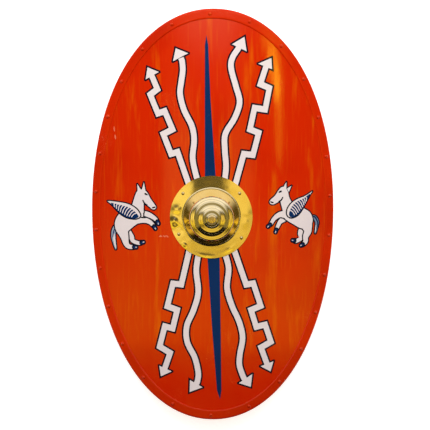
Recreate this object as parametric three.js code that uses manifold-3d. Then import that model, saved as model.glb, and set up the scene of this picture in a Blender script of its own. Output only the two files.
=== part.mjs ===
// A Roman scutum: a curved oval shield with a riveted metal rim and a brass boss, lying face up.
// Millimetres. +Z is up, +Y points to the shield's top, and the origin is under the middle of the shield.

import * as THREE from "three";
import { mergeVertices } from "three/addons/utils/BufferGeometryUtils.js";
import Module from "manifold-3d";

// Outline of the whole shield, measured flat, before it is curved
const SHIELD_LENGTH = 1067;
const FLAT_WIDTH = 661;
const OUTLINE_POWER = 2.055;
const OUTLINE_EGG = 0.013;
const OUTLINE_STEPS = 64;

// Radius of the board's front face, about an axis along Y
const BEND_RADIUS = 760;

// Clearances between pieces that touch
const FIT_GAP = 0.3;
const BOARD_EDGE_GAP = 0.5;

// Board, with the round hole for the hand
const BOARD_THICKNESS = 6;
const BOARD_STRIPS = 32;
const HAND_HOLE_RADIUS = 66;
const HAND_HOLE_SIDES = 24;

// Rim: one sheet folded round the board's edge
const RIM_SHEET = 2;
const RIM_LEG = 26;
const RIM_SHOULDER = 4;
const FOLD_STEPS = 6;
const FOLD_INSIDE_STEPS = 2;
const SHOULDER_STEPS = 2;

// Depth of the flat spots that the rim rests on, at its two widest places
const REST_FLAT_DEPTH = 0.9;

// Rivets through the rim. The row was set out by hand: it drifts to one side, and lags at both long sides.
const RIM_RIVET_COUNT = 26;
const RIM_RIVET_INSET = 13.5;
const RIM_RIVET_DRIFT = 9;
const RIM_RIVET_DRIFT_DEGREES = 27;
const RIM_RIVET_LAG = 9;
const RIM_RIVET = { headRadius: 5, headHeight: 3, shankRadius: 2, tailRadius: 3.6, tailHeight: 1.6 };
const RIVET_SIDES = 8;
const RIVET_HOLE_SIDES = 6;

// Boss: one brass sheet with a flange and a stepped dome. It sits a little left of the middle.
const BOSS_X = -6;
const BOSS_SHEET = 1.5;
const BOSS_FLANGE_RADIUS = 107;
const BOSS_DOME_RADIUS = 72;
const BOSS_HEIGHT = 74;
const BOSS_SIDES = 28;
const BOSS_ROOT_FILLET = 3;

// The dome's outside from its knob to its foot, as shares of its radius and height. It steps down in rings.
const DOME_SHARES = [
  [0, 1],
  [0.11, 0.992],
  [0.17, 0.965],
  [0.21, 0.962],
  [0.312, 0.876],
  [0.486, 0.853],
  [0.604, 0.758],
  [0.757, 0.735],
  [0.8, 0.69],
  [0.91, 0.36],
];
const FOLLOWS_BOARD_FROM = 0.8;

// Rivets through the boss's flange, as angles from +X about the boss
const BOSS_RIVET_INSET = 12;
const BOSS_RIVET_ANGLES = [40, 140, 208, 325];
const BOSS_RIVET = { headRadius: 4.6, headHeight: 2.4, shankRadius: 2, tailRadius: 3.8, tailHeight: 1.8 };

// Grip behind the hand hole: a bar between two end plates, in a leather sleeve
const GRIP_PLATE_SHEET = 2.5;
const GRIP_PLATE_WIDTH = 26;
const GRIP_PLATE_END_STEPS = 6;
const GRIP_BAR_WIDTH = 22;
const GRIP_BAR_THICKNESS = 4;
const GRIP_BAR_Y = 2;
const WRAP_LENGTH = 104;
const WRAP_WIDTH = 34;
const WRAP_THICKNESS = 22;
const WRAP_SIDES = 16;

const paint = new THREE.MeshStandardMaterial({ color: 0xc92406, roughness: 0.2, metalness: 0 });
const brass = new THREE.MeshStandardMaterial({ color: 0xd9a441, roughness: 0.25, metalness: 1 });
const steel = new THREE.MeshStandardMaterial({ color: 0x5c5b58, roughness: 0.5, metalness: 1 });
const leather = new THREE.MeshStandardMaterial({ color: 0x4a2b18, roughness: 0.7, metalness: 0 });

const wasm = await Module();
wasm.setup();

// Levels through the shield, as heights above the board's front face
const boardBack = -BOARD_THICKNESS;
const rimFront = FIT_GAP + RIM_SHEET;
const rimBack = boardBack - FIT_GAP - RIM_SHEET;
const foldRadius = (rimFront - rimBack) / 2;
const foldLevel = (rimFront + rimBack) / 2;
const plateFront = boardBack - FIT_GAP;
const plateBack = plateFront - GRIP_PLATE_SHEET;

const halfLength = SHIELD_LENGTH / 2;
const halfWidth = FLAT_WIDTH / 2;

// The front face's height above the ground at its crown, with the rest flats on the ground
const foldTurn = (halfWidth - foldRadius) / BEND_RADIUS;
const foldBottom = (BEND_RADIUS + foldLevel) * Math.cos(foldTurn) - foldRadius;
const crownHeight = BEND_RADIUS - foldBottom - REST_FLAT_DEPTH;

// A point of the flat outline. The turn t starts at the top and runs towards +X.
function outlinePoint(t) {
  const share = 2 / OUTLINE_POWER;
  const across = Math.sign(Math.sin(t)) * Math.abs(Math.sin(t)) ** share;
  const along = Math.sign(Math.cos(t)) * Math.abs(Math.cos(t)) ** share;
  return new THREE.Vector2(halfWidth * across * (1 + OUTLINE_EGG * along), halfLength * along);
}

// The outline's point moved inwards
function insetPoint(t, inset) {
  const smallTurn = 1e-3;
  const tangent = outlinePoint(t + smallTurn).sub(outlinePoint(t - smallTurn)).normalize();
  return outlinePoint(t).add(new THREE.Vector2(tangent.y, -tangent.x).multiplyScalar(inset));
}

// Curves a flat point (u across, v along, w above the front face) into the shield's frame
function bend(u, v, w) {
  const radius = BEND_RADIUS + w;
  const turn = u / BEND_RADIUS;
  return new THREE.Vector3(radius * Math.sin(turn), v, radius * Math.cos(turn) - BEND_RADIUS + crownHeight);
}

// How far the front face has dropped below its crown at a distance x from the middle
function drop(x) {
  return BEND_RADIUS - Math.sqrt(BEND_RADIUS ** 2 - x ** 2);
}

// A closed solid from a geometry, without the zero-area triangles at its poles
function solid(geometry) {
  const bare = geometry.index ? geometry.toNonIndexed() : geometry.clone();
  bare.deleteAttribute("normal");
  bare.deleteAttribute("uv");
  const merged = mergeVertices(bare, 1e-4);
  const corners = merged.index.array;
  const kept = [];
  for (let i = 0; i < corners.length; i += 3) {
    const [a, b, c] = corners.slice(i, i + 3);
    if (a !== b && b !== c && c !== a) {
      kept.push(a, b, c);
    }
  }
  const vertProperties = merged.attributes.position.array;
  return new wasm.Manifold(new wasm.Mesh({ numProp: 3, vertProperties, triVerts: new Uint32Array(kept) }));
}

function geometryOf(made) {
  const mesh = made.getMesh();
  const geometry = new THREE.BufferGeometry();
  geometry.setAttribute("position", new THREE.BufferAttribute(mesh.vertProperties, 3));
  geometry.setIndex(new THREE.BufferAttribute(mesh.triVerts, 1));
  geometry.computeVertexNormals();
  return geometry;
}

// A surface through rings of points that all have the same count. Each ring closes on itself.
function surfaceThrough(rings, closesOnItself) {
  const count = rings[0].length;
  const positions = rings.flat().flatMap((point) => point.toArray());
  const corners = [];
  const spans = closesOnItself ? rings.length : rings.length - 1;
  for (let i = 0; i < spans; i++) {
    const here = i * count;
    const next = ((i + 1) % rings.length) * count;
    for (let j = 0; j < count; j++) {
      const k = (j + 1) % count;
      corners.push(here + j, next + j, next + k, here + j, next + k, here + k);
    }
  }
  const geometry = new THREE.BufferGeometry();
  geometry.setAttribute("position", new THREE.Float32BufferAttribute(positions, 3));
  geometry.setIndex(corners);
  return geometry;
}

function cutAll(body, tools) {
  return tools.reduce((left, tool) => left.subtract(tool), body);
}

// Turns a geometry made about the Y axis so that it stands on the curved board at (x, y)
function standOnBoard(geometry, x, y) {
  const lean = Math.asin(x / BEND_RADIUS);
  geometry.rotateX(Math.PI / 2);
  geometry.translate(0, 0, BEND_RADIUS);
  geometry.rotateY(lean);
  geometry.translate(0, y, crownHeight - BEND_RADIUS);
  return geometry;
}

// A hole through every layer of the shield
function holeTool(place, radius, sides) {
  const reach = 4 * BOARD_THICKNESS;
  const tool = new THREE.CylinderGeometry(radius, radius, 2 * reach, sides);
  return solid(standOnBoard(tool, place.x, place.y));
}

function rivetHole(place, rivet) {
  const flatRadius = rivet.shankRadius + FIT_GAP;
  return holeTool(place, flatRadius / Math.cos(Math.PI / RIVET_HOLE_SIDES), RIVET_HOLE_SIDES);
}

// A rivet with its head on the level front and its hammered tail on the level back
function rivetGeometry(place, rivet, front, back) {
  const headBase = front + FIT_GAP;
  const tailBase = back - FIT_GAP;
  const profile = [
    [0, tailBase - rivet.tailHeight],
    [rivet.tailRadius, tailBase],
    [rivet.shankRadius, tailBase],
    [rivet.shankRadius, headBase],
    [rivet.headRadius, headBase],
    [rivet.headRadius * Math.SQRT1_2, headBase + rivet.headHeight * Math.SQRT1_2],
    [0, headBase + rivet.headHeight],
  ].map(([radius, level]) => new THREE.Vector2(radius, level));
  const lathe = new THREE.LatheGeometry(profile, RIVET_SIDES);
  return geometryOf(solid(standOnBoard(lathe, place.x, place.y)));
}

// Places of the rim's rivets, round the shield from its top towards -X
function rimRivetPlaces() {
  const samples = 1440;
  const row = [];
  const lengths = [0];
  for (let i = 0; i <= samples; i++) {
    row.push(insetPoint((-2 * Math.PI * i) / samples, RIM_RIVET_INSET));
    if (i > 0) {
      lengths.push(lengths[i - 1] + row[i].distanceTo(row[i - 1]));
    }
  }
  const whole = lengths[samples];
  return Array.from({ length: RIM_RIVET_COUNT }, (_, k) => {
    const turn = (2 * Math.PI * k) / RIM_RIVET_COUNT;
    const drift = RIM_RIVET_DRIFT * Math.cos(turn + THREE.MathUtils.degToRad(RIM_RIVET_DRIFT_DEGREES));
    const lag = RIM_RIVET_LAG * Math.sin(turn) ** 2;
    const wanted = ((k / RIM_RIVET_COUNT) * whole + drift - lag + whole) % whole;
    const i = lengths.findIndex((length) => length >= wanted);
    const flat = row[i];
    return new THREE.Vector2(BEND_RADIUS * Math.sin(flat.x / BEND_RADIUS), flat.y);
  });
}

function bossRivetPlaces() {
  return BOSS_RIVET_ANGLES.map((degrees) => {
    const angle = THREE.MathUtils.degToRad(degrees);
    const circle = BOSS_FLANGE_RADIUS - BOSS_RIVET_INSET;
    return new THREE.Vector2(BOSS_X + circle * Math.cos(angle), circle * Math.sin(angle));
  });
}

const rimPlaces = rimRivetPlaces();
const bossPlaces = bossRivetPlaces();

// The board's edge stops just inside the rim's fold
function makeBoard() {
  const inset = foldRadius + BOARD_EDGE_GAP;
  const rings = [];
  for (let i = 0; i <= BOARD_STRIPS; i++) {
    const t = Math.PI * (i / BOARD_STRIPS - 0.5);
    const top = insetPoint(t, inset);
    const bottom = insetPoint(Math.PI - t, inset);
    rings.push([
      bend(top.x, top.y, 0),
      bend(top.x, top.y, boardBack),
      bend(bottom.x, bottom.y, boardBack),
      bend(bottom.x, bottom.y, 0),
    ]);
  }
  const tools = rimPlaces.map((place) => rivetHole(place, RIM_RIVET));
  tools.push(...bossPlaces.map((place) => rivetHole(place, BOSS_RIVET)));
  tools.push(holeTool(new THREE.Vector2(BOSS_X, 0), HAND_HOLE_RADIUS, HAND_HOLE_SIDES));
  return cutAll(solid(capped(rings)), tools);
}

// The strips narrow to the board's own corner points, whose thin ends are closed here
function capped(rings) {
  const geometry = surfaceThrough(rings, false);
  const count = rings[0].length;
  const last = (rings.length - 1) * count;
  const ends = [0, 1, 2, 0, 2, 3, last, last + 2, last + 1, last, last + 3, last + 2];
  geometry.setIndex([...geometry.index.array, ...ends]);
  return geometry;
}

// The rim's section, as distances in from the shield's edge and levels
function rimSection() {
  const section = [];
  for (let i = 0; i <= FOLD_STEPS; i++) {
    const turn = (Math.PI * i) / FOLD_STEPS;
    section.push([foldRadius * (1 - Math.sin(turn)), foldLevel + foldRadius * Math.cos(turn)]);
  }
  section.push([RIM_LEG, rimBack], [RIM_LEG, rimBack + RIM_SHEET]);
  const insideRadius = foldRadius - RIM_SHEET;
  for (let i = FOLD_INSIDE_STEPS; i >= 0; i--) {
    const turn = (Math.PI * i) / FOLD_INSIDE_STEPS;
    section.push([foldRadius - insideRadius * Math.sin(turn), foldLevel + insideRadius * Math.cos(turn)]);
  }
  for (let i = 0; i <= SHOULDER_STEPS; i++) {
    const turn = (Math.PI / 2) * (i / SHOULDER_STEPS);
    const reach = RIM_LEG - RIM_SHOULDER * (1 - Math.cos(turn));
    section.push([reach, FIT_GAP + RIM_SHEET * Math.sin(turn)]);
  }
  return section;
}

function makeRim() {
  const section = rimSection();
  const rings = [];
  for (let i = 0; i < OUTLINE_STEPS; i++) {
    const t = (2 * Math.PI * i) / OUTLINE_STEPS;
    rings.push(
      section.map(([inset, level]) => {
        const flat = insetPoint(t, inset);
        return bend(flat.x, flat.y, level);
      }),
    );
  }
  const ground = new THREE.BoxGeometry(2 * FLAT_WIDTH, 2 * SHIELD_LENGTH, 2 * BEND_RADIUS);
  ground.translate(0, 0, -BEND_RADIUS);
  const tools = rimPlaces.map((place) => rivetHole(place, RIM_RIVET));
  return cutAll(solid(surfaceThrough(rings, true)), [solid(ground), ...tools]);
}

// The boss's outside from its top to its edge, as radii and heights
function bossOutside() {
  const flangeTop = FIT_GAP + BOSS_SHEET;
  const outside = DOME_SHARES.map(([across, up]) => [BOSS_DOME_RADIUS * across, BOSS_HEIGHT * up]);
  outside.push([BOSS_DOME_RADIUS, flangeTop + BOSS_ROOT_FILLET]);
  outside.push([BOSS_DOME_RADIUS + BOSS_ROOT_FILLET, flangeTop]);
  outside.push([(BOSS_DOME_RADIUS + BOSS_FLANGE_RADIUS) / 2, flangeTop]);
  outside.push([BOSS_FLANGE_RADIUS, flangeTop]);
  return outside.map(([radius, height]) => new THREE.Vector2(radius, height));
}

// The same line one sheet thickness further in, which never sinks into the board
function bossInside(outside) {
  return outside.map((point, i) => {
    const before = outside[Math.max(i - 1, 0)];
    const after = outside[Math.min(i + 1, outside.length - 1)];
    const along = after.clone().sub(before).normalize();
    const radius = i === 0 ? 0 : point.x + along.y * BOSS_SHEET;
    const height = point.y - along.x * BOSS_SHEET;
    return new THREE.Vector2(i === outside.length - 1 ? point.x : radius, Math.max(height, FIT_GAP));
  });
}

// The flange follows the curved board. The dome stays round and level above it.
function makeBoss() {
  const outside = bossOutside();
  const inside = bossInside(outside);
  inside[0].y = outside[0].y - BOSS_SHEET;
  const lathe = new THREE.LatheGeometry([...inside, ...outside.reverse()], BOSS_SIDES);
  lathe.rotateX(Math.PI / 2);
  const points = lathe.attributes.position;
  for (let i = 0; i < points.count; i++) {
    const radius = Math.hypot(points.getX(i), points.getY(i));
    const wallStart = BOSS_DOME_RADIUS * FOLLOWS_BOARD_FROM;
    const follows = THREE.MathUtils.smoothstep(radius, wallStart, BOSS_DOME_RADIUS - BOSS_SHEET);
    points.setX(i, points.getX(i) + BOSS_X);
    points.setZ(i, points.getZ(i) + crownHeight - follows * drop(points.getX(i)));
  }
  return cutAll(
    solid(lathe),
    bossPlaces.map((place) => rivetHole(place, BOSS_RIVET)),
  );
}

// An end plate: a strap with round ends through its two rivets, curved to the board's back
function endPlate(first, second) {
  const run = second.clone().sub(first);
  const heading = Math.atan2(run.y, run.x);
  const halfWide = GRIP_PLATE_WIDTH / 2;
  const shape = new THREE.Shape();
  shape.absarc(second.x, second.y, halfWide, heading - Math.PI / 2, heading + Math.PI / 2, false);
  shape.absarc(first.x, first.y, halfWide, heading + Math.PI / 2, heading + (3 * Math.PI) / 2, false);
  const plate = new THREE.ExtrudeGeometry(shape, {
    depth: GRIP_PLATE_SHEET,
    bevelEnabled: false,
    curveSegments: GRIP_PLATE_END_STEPS,
  });
  const points = plate.attributes.position;
  for (let i = 0; i < points.count; i++) {
    const level = plateBack + points.getZ(i);
    points.setZ(i, crownHeight + level - drop(points.getX(i)));
  }
  return solid(plate);
}

// Where an end plate's middle line crosses the bar
function plateCrossing(first, second) {
  const share = (GRIP_BAR_Y - first.y) / (second.y - first.y);
  return first.x + share * (second.x - first.x);
}

const [upperRight, upperLeft, lowerLeft, lowerRight] = bossPlaces;
const barRight = plateCrossing(upperRight, lowerRight);
const barLeft = plateCrossing(upperLeft, lowerLeft);
const barTop = crownHeight + plateFront - drop(Math.max(barRight, -barLeft));

function makeGripBar() {
  const bar = new THREE.BoxGeometry(barRight - barLeft, GRIP_BAR_WIDTH, GRIP_BAR_THICKNESS);
  bar.translate((barRight + barLeft) / 2, GRIP_BAR_Y, barTop - GRIP_BAR_THICKNESS / 2);
  const whole = solid(bar).add(endPlate(upperRight, lowerRight)).add(endPlate(upperLeft, lowerLeft));
  return cutAll(
    whole,
    bossPlaces.map((place) => rivetHole(place, BOSS_RIVET)),
  );
}

function makeGripWrap() {
  const outline = new THREE.Shape();
  outline.absellipse(0, 0, WRAP_THICKNESS / 2, WRAP_WIDTH / 2, 0, 2 * Math.PI, false, 0);
  const slotHalfHeight = GRIP_BAR_THICKNESS / 2 + FIT_GAP;
  const slotHalfWidth = GRIP_BAR_WIDTH / 2 + FIT_GAP;
  const slot = new THREE.Path();
  slot.moveTo(-slotHalfHeight, -slotHalfWidth);
  slot.lineTo(-slotHalfHeight, slotHalfWidth);
  slot.lineTo(slotHalfHeight, slotHalfWidth);
  slot.lineTo(slotHalfHeight, -slotHalfWidth);
  slot.closePath();
  outline.holes.push(slot);
  const wrap = new THREE.ExtrudeGeometry(outline, {
    depth: WRAP_LENGTH,
    bevelEnabled: false,
    curveSegments: WRAP_SIDES,
  });
  wrap.translate(0, 0, -WRAP_LENGTH / 2);
  wrap.rotateY(Math.PI / 2);
  wrap.translate(BOSS_X, GRIP_BAR_Y, barTop - GRIP_BAR_THICKNESS / 2);
  return solid(wrap);
}

const scutum = new THREE.Group();

function addPiece(name, geometry, material) {
  const mesh = new THREE.Mesh(geometry, material.clone());
  mesh.name = name;
  scutum.add(mesh);
}

addPiece("board", geometryOf(makeBoard()), paint);
addPiece("rim", geometryOf(makeRim()), paint);
addPiece("boss", geometryOf(makeBoss()), brass);
addPiece("grip_bar", geometryOf(makeGripBar()), steel);
addPiece("grip_wrap", geometryOf(makeGripWrap()), leather);

rimPlaces.forEach((place, k) => {
  const number = String(k + 1).padStart(2, "0");
  addPiece(`rim_rivet_${number}`, rivetGeometry(place, RIM_RIVET, rimFront, rimBack), paint);
});

bossPlaces.forEach((place, k) => {
  const front = FIT_GAP + BOSS_SHEET;
  addPiece(`boss_rivet_${k + 1}`, rivetGeometry(place, BOSS_RIVET, front, plateBack), brass);
});

export default scutum;
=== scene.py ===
import math

import bmesh
import bpy
import numpy as np
from bpy.props import FloatProperty, FloatVectorProperty, IntProperty, PointerProperty
from mathutils import Matrix, Vector, geometry, noise


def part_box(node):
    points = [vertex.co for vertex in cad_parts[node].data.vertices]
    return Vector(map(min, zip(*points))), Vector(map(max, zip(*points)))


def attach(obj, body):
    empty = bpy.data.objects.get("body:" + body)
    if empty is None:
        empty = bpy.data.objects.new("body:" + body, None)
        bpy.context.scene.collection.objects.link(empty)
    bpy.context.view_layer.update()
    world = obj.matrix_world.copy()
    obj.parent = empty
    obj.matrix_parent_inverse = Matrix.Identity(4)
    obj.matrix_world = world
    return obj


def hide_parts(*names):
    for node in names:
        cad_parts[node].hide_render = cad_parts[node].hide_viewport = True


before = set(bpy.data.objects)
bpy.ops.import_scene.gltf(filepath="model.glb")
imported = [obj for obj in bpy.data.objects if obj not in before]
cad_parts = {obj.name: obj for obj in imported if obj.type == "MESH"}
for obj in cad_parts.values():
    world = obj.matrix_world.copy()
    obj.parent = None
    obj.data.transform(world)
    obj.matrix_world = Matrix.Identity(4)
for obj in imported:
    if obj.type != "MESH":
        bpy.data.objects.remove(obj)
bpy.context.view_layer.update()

bl_info = {
    "name": "Roman scutum shield",
    "version": (1, 0, 0),
    "blender": (4, 5, 0),
    "location": "3D View > Sidebar > Scutum",
    "description": "Builds a curved oval shield with painted artwork, a riveted rim and a brass boss",
    "category": "Add Mesh",
}

MM = 0.001

# Levels of the shield's layers above the board's front face
FIT_GAP = 0.3 * MM
BOARD_THICKNESS = 6 * MM
CROWN_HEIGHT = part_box("board")[1].z

# How far the dressed rim stays inside the solid one
EDGE_CLEARANCE = 0.08 * MM

# The rivets' nodes in the frame
RIM_RIVETS = sorted(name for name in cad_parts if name.startswith("rim_rivet_"))
BOSS_RIVETS = sorted(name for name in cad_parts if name.startswith("boss_rivet_"))

# Radius of every rivet's shank
SHANK_RADIUS = 2 * MM

# Paints of the artwork, in the order of the board's material slots
RED, WHITE, NAVY, LINE, GREY, BACK, PALE_MARK = range(7)


# Sizes and colours a user may change


def metres(name, description, default):
    """A length that a user may change."""
    return FloatProperty(name=name, description=description, default=default, unit="LENGTH")


def colour_of(name, description, default):
    """A colour that a user may change, as linear red, green and blue."""
    return FloatVectorProperty(name=name, description=description, default=default, subtype="COLOR")


class ScutumBoardSettings(bpy.types.PropertyGroup):
    length: metres("Length", "Length of the whole shield", 1.067)
    flat_width: metres("Flat width", "Width of the whole shield, measured round its curve", 0.661)
    bend_radius: metres("Bend radius", "Radius of the board's front face", 0.760)
    outline_power: FloatProperty(
        name="Outline power", description="2 is an ellipse, and more is squarer", default=2.055
    )
    outline_egg: FloatProperty(
        name="Outline egg", description="How much wider the top half is", default=0.013
    )
    hand_hole_radius: metres("Hand hole radius", "Radius of the hole for the hand", 0.066)
    grid: metres("Grid", "Spacing of the points inside the board's face", 0.009)
    waviness: metres("Waviness", "Depth of the uneven places in the board", 0.00028)
    red: colour_of("Red", "Gloss red paint", (0.575, 0.015, 0.0002))
    white: colour_of("White", "White artwork paint", (0.71, 0.635, 0.64))
    navy: colour_of("Navy", "Navy artwork paint", (0.001, 0.022, 0.095))
    line: colour_of("Outline", "Dark outline paint", (0.003, 0.003, 0.010))
    grey: colour_of("Grey", "Blue-grey artwork paint", (0.25, 0.31, 0.40))


class ScutumRimSettings(bpy.types.PropertyGroup):
    sheet: metres("Sheet", "Thickness of the rim's sheet", 0.002)
    leg: metres("Leg", "Reach of the rim over the board", 0.026)
    shoulder: metres("Shoulder", "Rounding of the rim's inner edge", 0.004)
    rest_flat: metres("Rest flat", "Lowest level that the rim may reach", 0.0)
    dents: metres("Dents", "Depth of the uneven places in the rim", 0.00035)
    head_radius: metres("Rivet head radius", "Radius of a rim rivet's head", 0.005)
    head_height: metres("Rivet head height", "Height of a rim rivet's head", 0.003)
    tail_radius: metres("Rivet tail radius", "Radius of a rim rivet's tail", 0.0036)
    tail_height: metres("Rivet tail height", "Height of a rim rivet's tail", 0.0016)
    seed: IntProperty(name="Seed", description="Which rivets lean and grow a little", default=7)


class ScutumBossSettings(bpy.types.PropertyGroup):
    offset: metres("Offset", "Distance of the boss right of the middle", -0.006)
    sheet: metres("Sheet", "Thickness of the brass", 0.0015)
    flange_radius: metres("Flange radius", "Radius of the boss's flange", 0.107)
    dome_radius: metres("Dome radius", "Radius of the dome at its foot", 0.072)
    height: metres("Height", "Height of the knob's top above the board", 0.074)
    crinkle: metres("Crinkle", "Depth of the flange's hammered crinkles", 0.0012)
    sides: IntProperty(name="Sides", description="Steps round the boss", default=240)
    head_radius: metres("Rivet head radius", "Radius of a boss rivet's head", 0.0046)
    head_height: metres("Rivet head height", "Height of a boss rivet's head", 0.0024)
    tail_radius: metres("Rivet tail radius", "Radius of a boss rivet's tail", 0.0038)
    tail_height: metres("Rivet tail height", "Height of a boss rivet's tail", 0.0018)
    brass: colour_of("Brass", "Polished brass", (0.85, 0.68, 0.34))


class ScutumGripSettings(bpy.types.PropertyGroup):
    bevel: metres("Bevel", "Rounding of the steel bar's edges", 0.0006)
    stitch_count: IntProperty(name="Stitches", description="Stitches in the sleeve's seam", default=17)
    stitch_length: metres("Stitch length", "Length of a stitch", 0.0032)
    stitch_width: metres("Stitch width", "Width of the thread", 0.0011)
    leather: colour_of("Leather", "Dark brown leather", (0.050, 0.021, 0.010))
    steel: colour_of("Steel", "Blackened steel", (0.045, 0.043, 0.041))


class ScutumStageSettings(bpy.types.PropertyGroup):
    floor_size: metres("Floor size", "Side of the floor", 40.0)
    lens: FloatProperty(name="Lens", description="Focal length in millimetres", default=97.2)
    distance: metres("Distance", "From the shield's crown to the camera", 3.0)
    pitch: FloatProperty(
        name="Pitch",
        description="Lean of the view towards the top",
        default=math.radians(4.85),
        unit="ROTATION",
    )
    yaw: FloatProperty(
        name="Yaw",
        description="Lean of the view to the right",
        default=math.radians(-1.35),
        unit="ROTATION",
    )


# The shield's curved surface


def outline_point(turn):
    """A point of the flat outline. The turn starts at the top and runs towards +X."""
    board = bpy.context.scene.scutum_board
    share = 2 / board.outline_power
    across = math.copysign(abs(math.sin(turn)) ** share, math.sin(turn))
    along = math.copysign(abs(math.cos(turn)) ** share, math.cos(turn))
    wide = board.flat_width / 2 * across * (1 + board.outline_egg * along)
    return Vector((wide, board.length / 2 * along))


def inset_point(turn, inset):
    """The outline's point moved inwards."""
    small_turn = 1e-3
    tangent = (outline_point(turn + small_turn) - outline_point(turn - small_turn)).normalized()
    return outline_point(turn) + Vector((tangent.y, -tangent.x)) * inset


def bend(u, v, w):
    """Curves a flat point (u across, v along, w above the front face) into the shield's frame."""
    bend_radius = bpy.context.scene.scutum_board.bend_radius
    radius = bend_radius + w
    turn = u / bend_radius
    return Vector((radius * math.sin(turn), v, radius * math.cos(turn) - bend_radius + CROWN_HEIGHT))


def drop(x):
    """How far the front face has dropped below its crown."""
    bend_radius = bpy.context.scene.scutum_board.bend_radius
    return bend_radius - math.sqrt(bend_radius**2 - x**2)


def unevenness(u, v, wavelength, seed):
    """A gentle height from -1 to 1 that is the same each run."""
    place = Vector((u / wavelength, v / wavelength, seed))
    return noise.noise(place) * 0.75 + noise.noise(place * 2.3) * 0.25


# Mesh helpers


def new_mesh_object(name, points, faces, smooth=True):
    """A mesh object at the origin from points and faces."""
    mesh = bpy.data.meshes.new(name)
    mesh.from_pydata([tuple(point) for point in points], [], faces)
    mesh.validate()
    made = bpy.data.objects.new(name, mesh)
    bpy.context.scene.collection.objects.link(made)
    if smooth:
        mesh.shade_smooth()
    mesh.update()
    return made


def surface_through(rings, closes_on_itself):
    """Faces through rings of points that all have the same count."""
    count = len(rings[0])
    faces = []
    spans = len(rings) if closes_on_itself else len(rings) - 1
    for i in range(spans):
        here = i * count
        after = ((i + 1) % len(rings)) * count
        for j in range(count):
            k = (j + 1) % count
            faces.append((here + j, after + j, after + k, here + k))
    return [point for ring in rings for point in ring], faces


def mark_sharp(made, degrees):
    """Keeps edges sharper than the angle crisp."""
    made.data.set_sharp_from_angle(angle=math.radians(degrees))


def finish_piece(made, nodes):
    """Hands a piece to the frame in place of its CAD nodes."""
    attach(made, "root")
    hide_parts(*nodes)


# Flat drawing in millimetres


def smooth_line(points, steps, closed=False):
    """A Catmull-Rom line through the points."""
    count = len(points)
    spans = count if closed else count - 1
    line = []
    for i in range(spans):
        if closed:
            around = [points[(i + k) % count] for k in (-1, 0, 1, 2)]
        else:
            around = [points[min(max(i + k, 0), count - 1)] for k in (-1, 0, 1, 2)]
        a, b, c, d = (np.array(point, float) for point in around)
        for step in range(steps):
            t = step / steps
            line.append(
                0.5
                * (2 * b + (c - a) * t + (2 * a - 5 * b + 4 * c - d) * t**2 + (3 * b - a - 3 * c + d) * t**3)
            )
    if not closed:
        line.append(np.array(points[-1], float))
    return line


def crossing(a, along_a, b, along_b):
    """Where two straight lines cross, or None where they run together."""
    nearly_parallel = 0.05
    across = along_a[0] * along_b[1] - along_a[1] * along_b[0]
    if abs(across) < nearly_parallel:
        return None
    t = ((b[0] - a[0]) * along_b[1] - (b[1] - a[1]) * along_b[0]) / across
    return a + along_a * t


def stroke(line, halves):
    """The outline of a painted stroke, with a half width for each straight part."""
    line = [np.array(point, float) for point in line]
    runs = [(b - a) / np.linalg.norm(b - a) for a, b in zip(line, line[1:])]
    sides = []
    for side in (1, -1):
        edge = []
        for i, point in enumerate(line):
            before = max(i - 1, 0)
            after = min(i, len(runs) - 1)
            square = [np.array((-runs[k][1], runs[k][0])) * side * halves[k] for k in (before, after)]
            met = crossing(point + square[0], runs[before], point + square[1], runs[after])
            edge.append(point + (square[0] + square[1]) / 2 if met is None else met)
        sides.append(edge)
    return sides[0] + sides[1][::-1]


def signed_area(polygon):
    """Area of a polygon, above zero where it runs counter-clockwise."""
    points = np.array(polygon, float)
    after = np.roll(points, -1, axis=0)
    return float(np.sum(points[:, 0] * after[:, 1] - after[:, 0] * points[:, 1]) / 2)


def counter_clockwise(polygon):
    return polygon if signed_area(polygon) > 0 else polygon[::-1]


def grown(polygon, distance):
    """A polygon moved outwards, with its sharp corners cut short."""
    sharp_below = 0.5
    corner_reach = 0.7
    polygon = [np.array(point, float) for point in counter_clockwise(polygon)]
    count = len(polygon)
    made = []
    for i, point in enumerate(polygon):
        before = point - polygon[i - 1]
        after = polygon[(i + 1) % count] - point
        before = before / max(np.linalg.norm(before), 1e-9)
        after = after / max(np.linalg.norm(after), 1e-9)
        out_before = np.array((before[1], -before[0]))
        out_after = np.array((after[1], -after[0]))
        both = out_before + out_after
        lean = float(np.dot(both, both)) / 2
        if lean > sharp_below:
            made.append(point + both / lean * distance)
        else:
            made.append(point + (out_before + before * corner_reach) * distance)
            made.append(point + (out_after - after * corner_reach) * distance)
    return made


def limb(points, steps=6):
    """A tapering rounded stroke through (x, y, half width) points."""
    line = smooth_line(points, steps)
    places = [point[:2] for point in line]
    sides = [[], []]
    for i, point in enumerate(line):
        run = places[min(i + 1, len(line) - 1)] - places[max(i - 1, 0)]
        run = run / np.linalg.norm(run)
        square = np.array((-run[1], run[0])) * point[2]
        sides[0].append(places[i] + square)
        sides[1].append(places[i] - square)
    ends = []
    for end, inner, half in ((-1, -2, line[-1][2]), (0, 1, line[0][2])):
        run = places[end] - places[inner]
        run = run / np.linalg.norm(run)
        square = np.array((-run[1], run[0]))
        turn = 1 if end == -1 else -1
        ends.append(
            [
                places[end] + (run * math.sin(a) + square * turn * math.cos(a)) * half
                for a in (math.pi / 4, math.pi / 2, 3 * math.pi / 4)
            ]
        )
    return sides[0] + ends[0] + sides[1][::-1] + ends[1][::-1]


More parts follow.
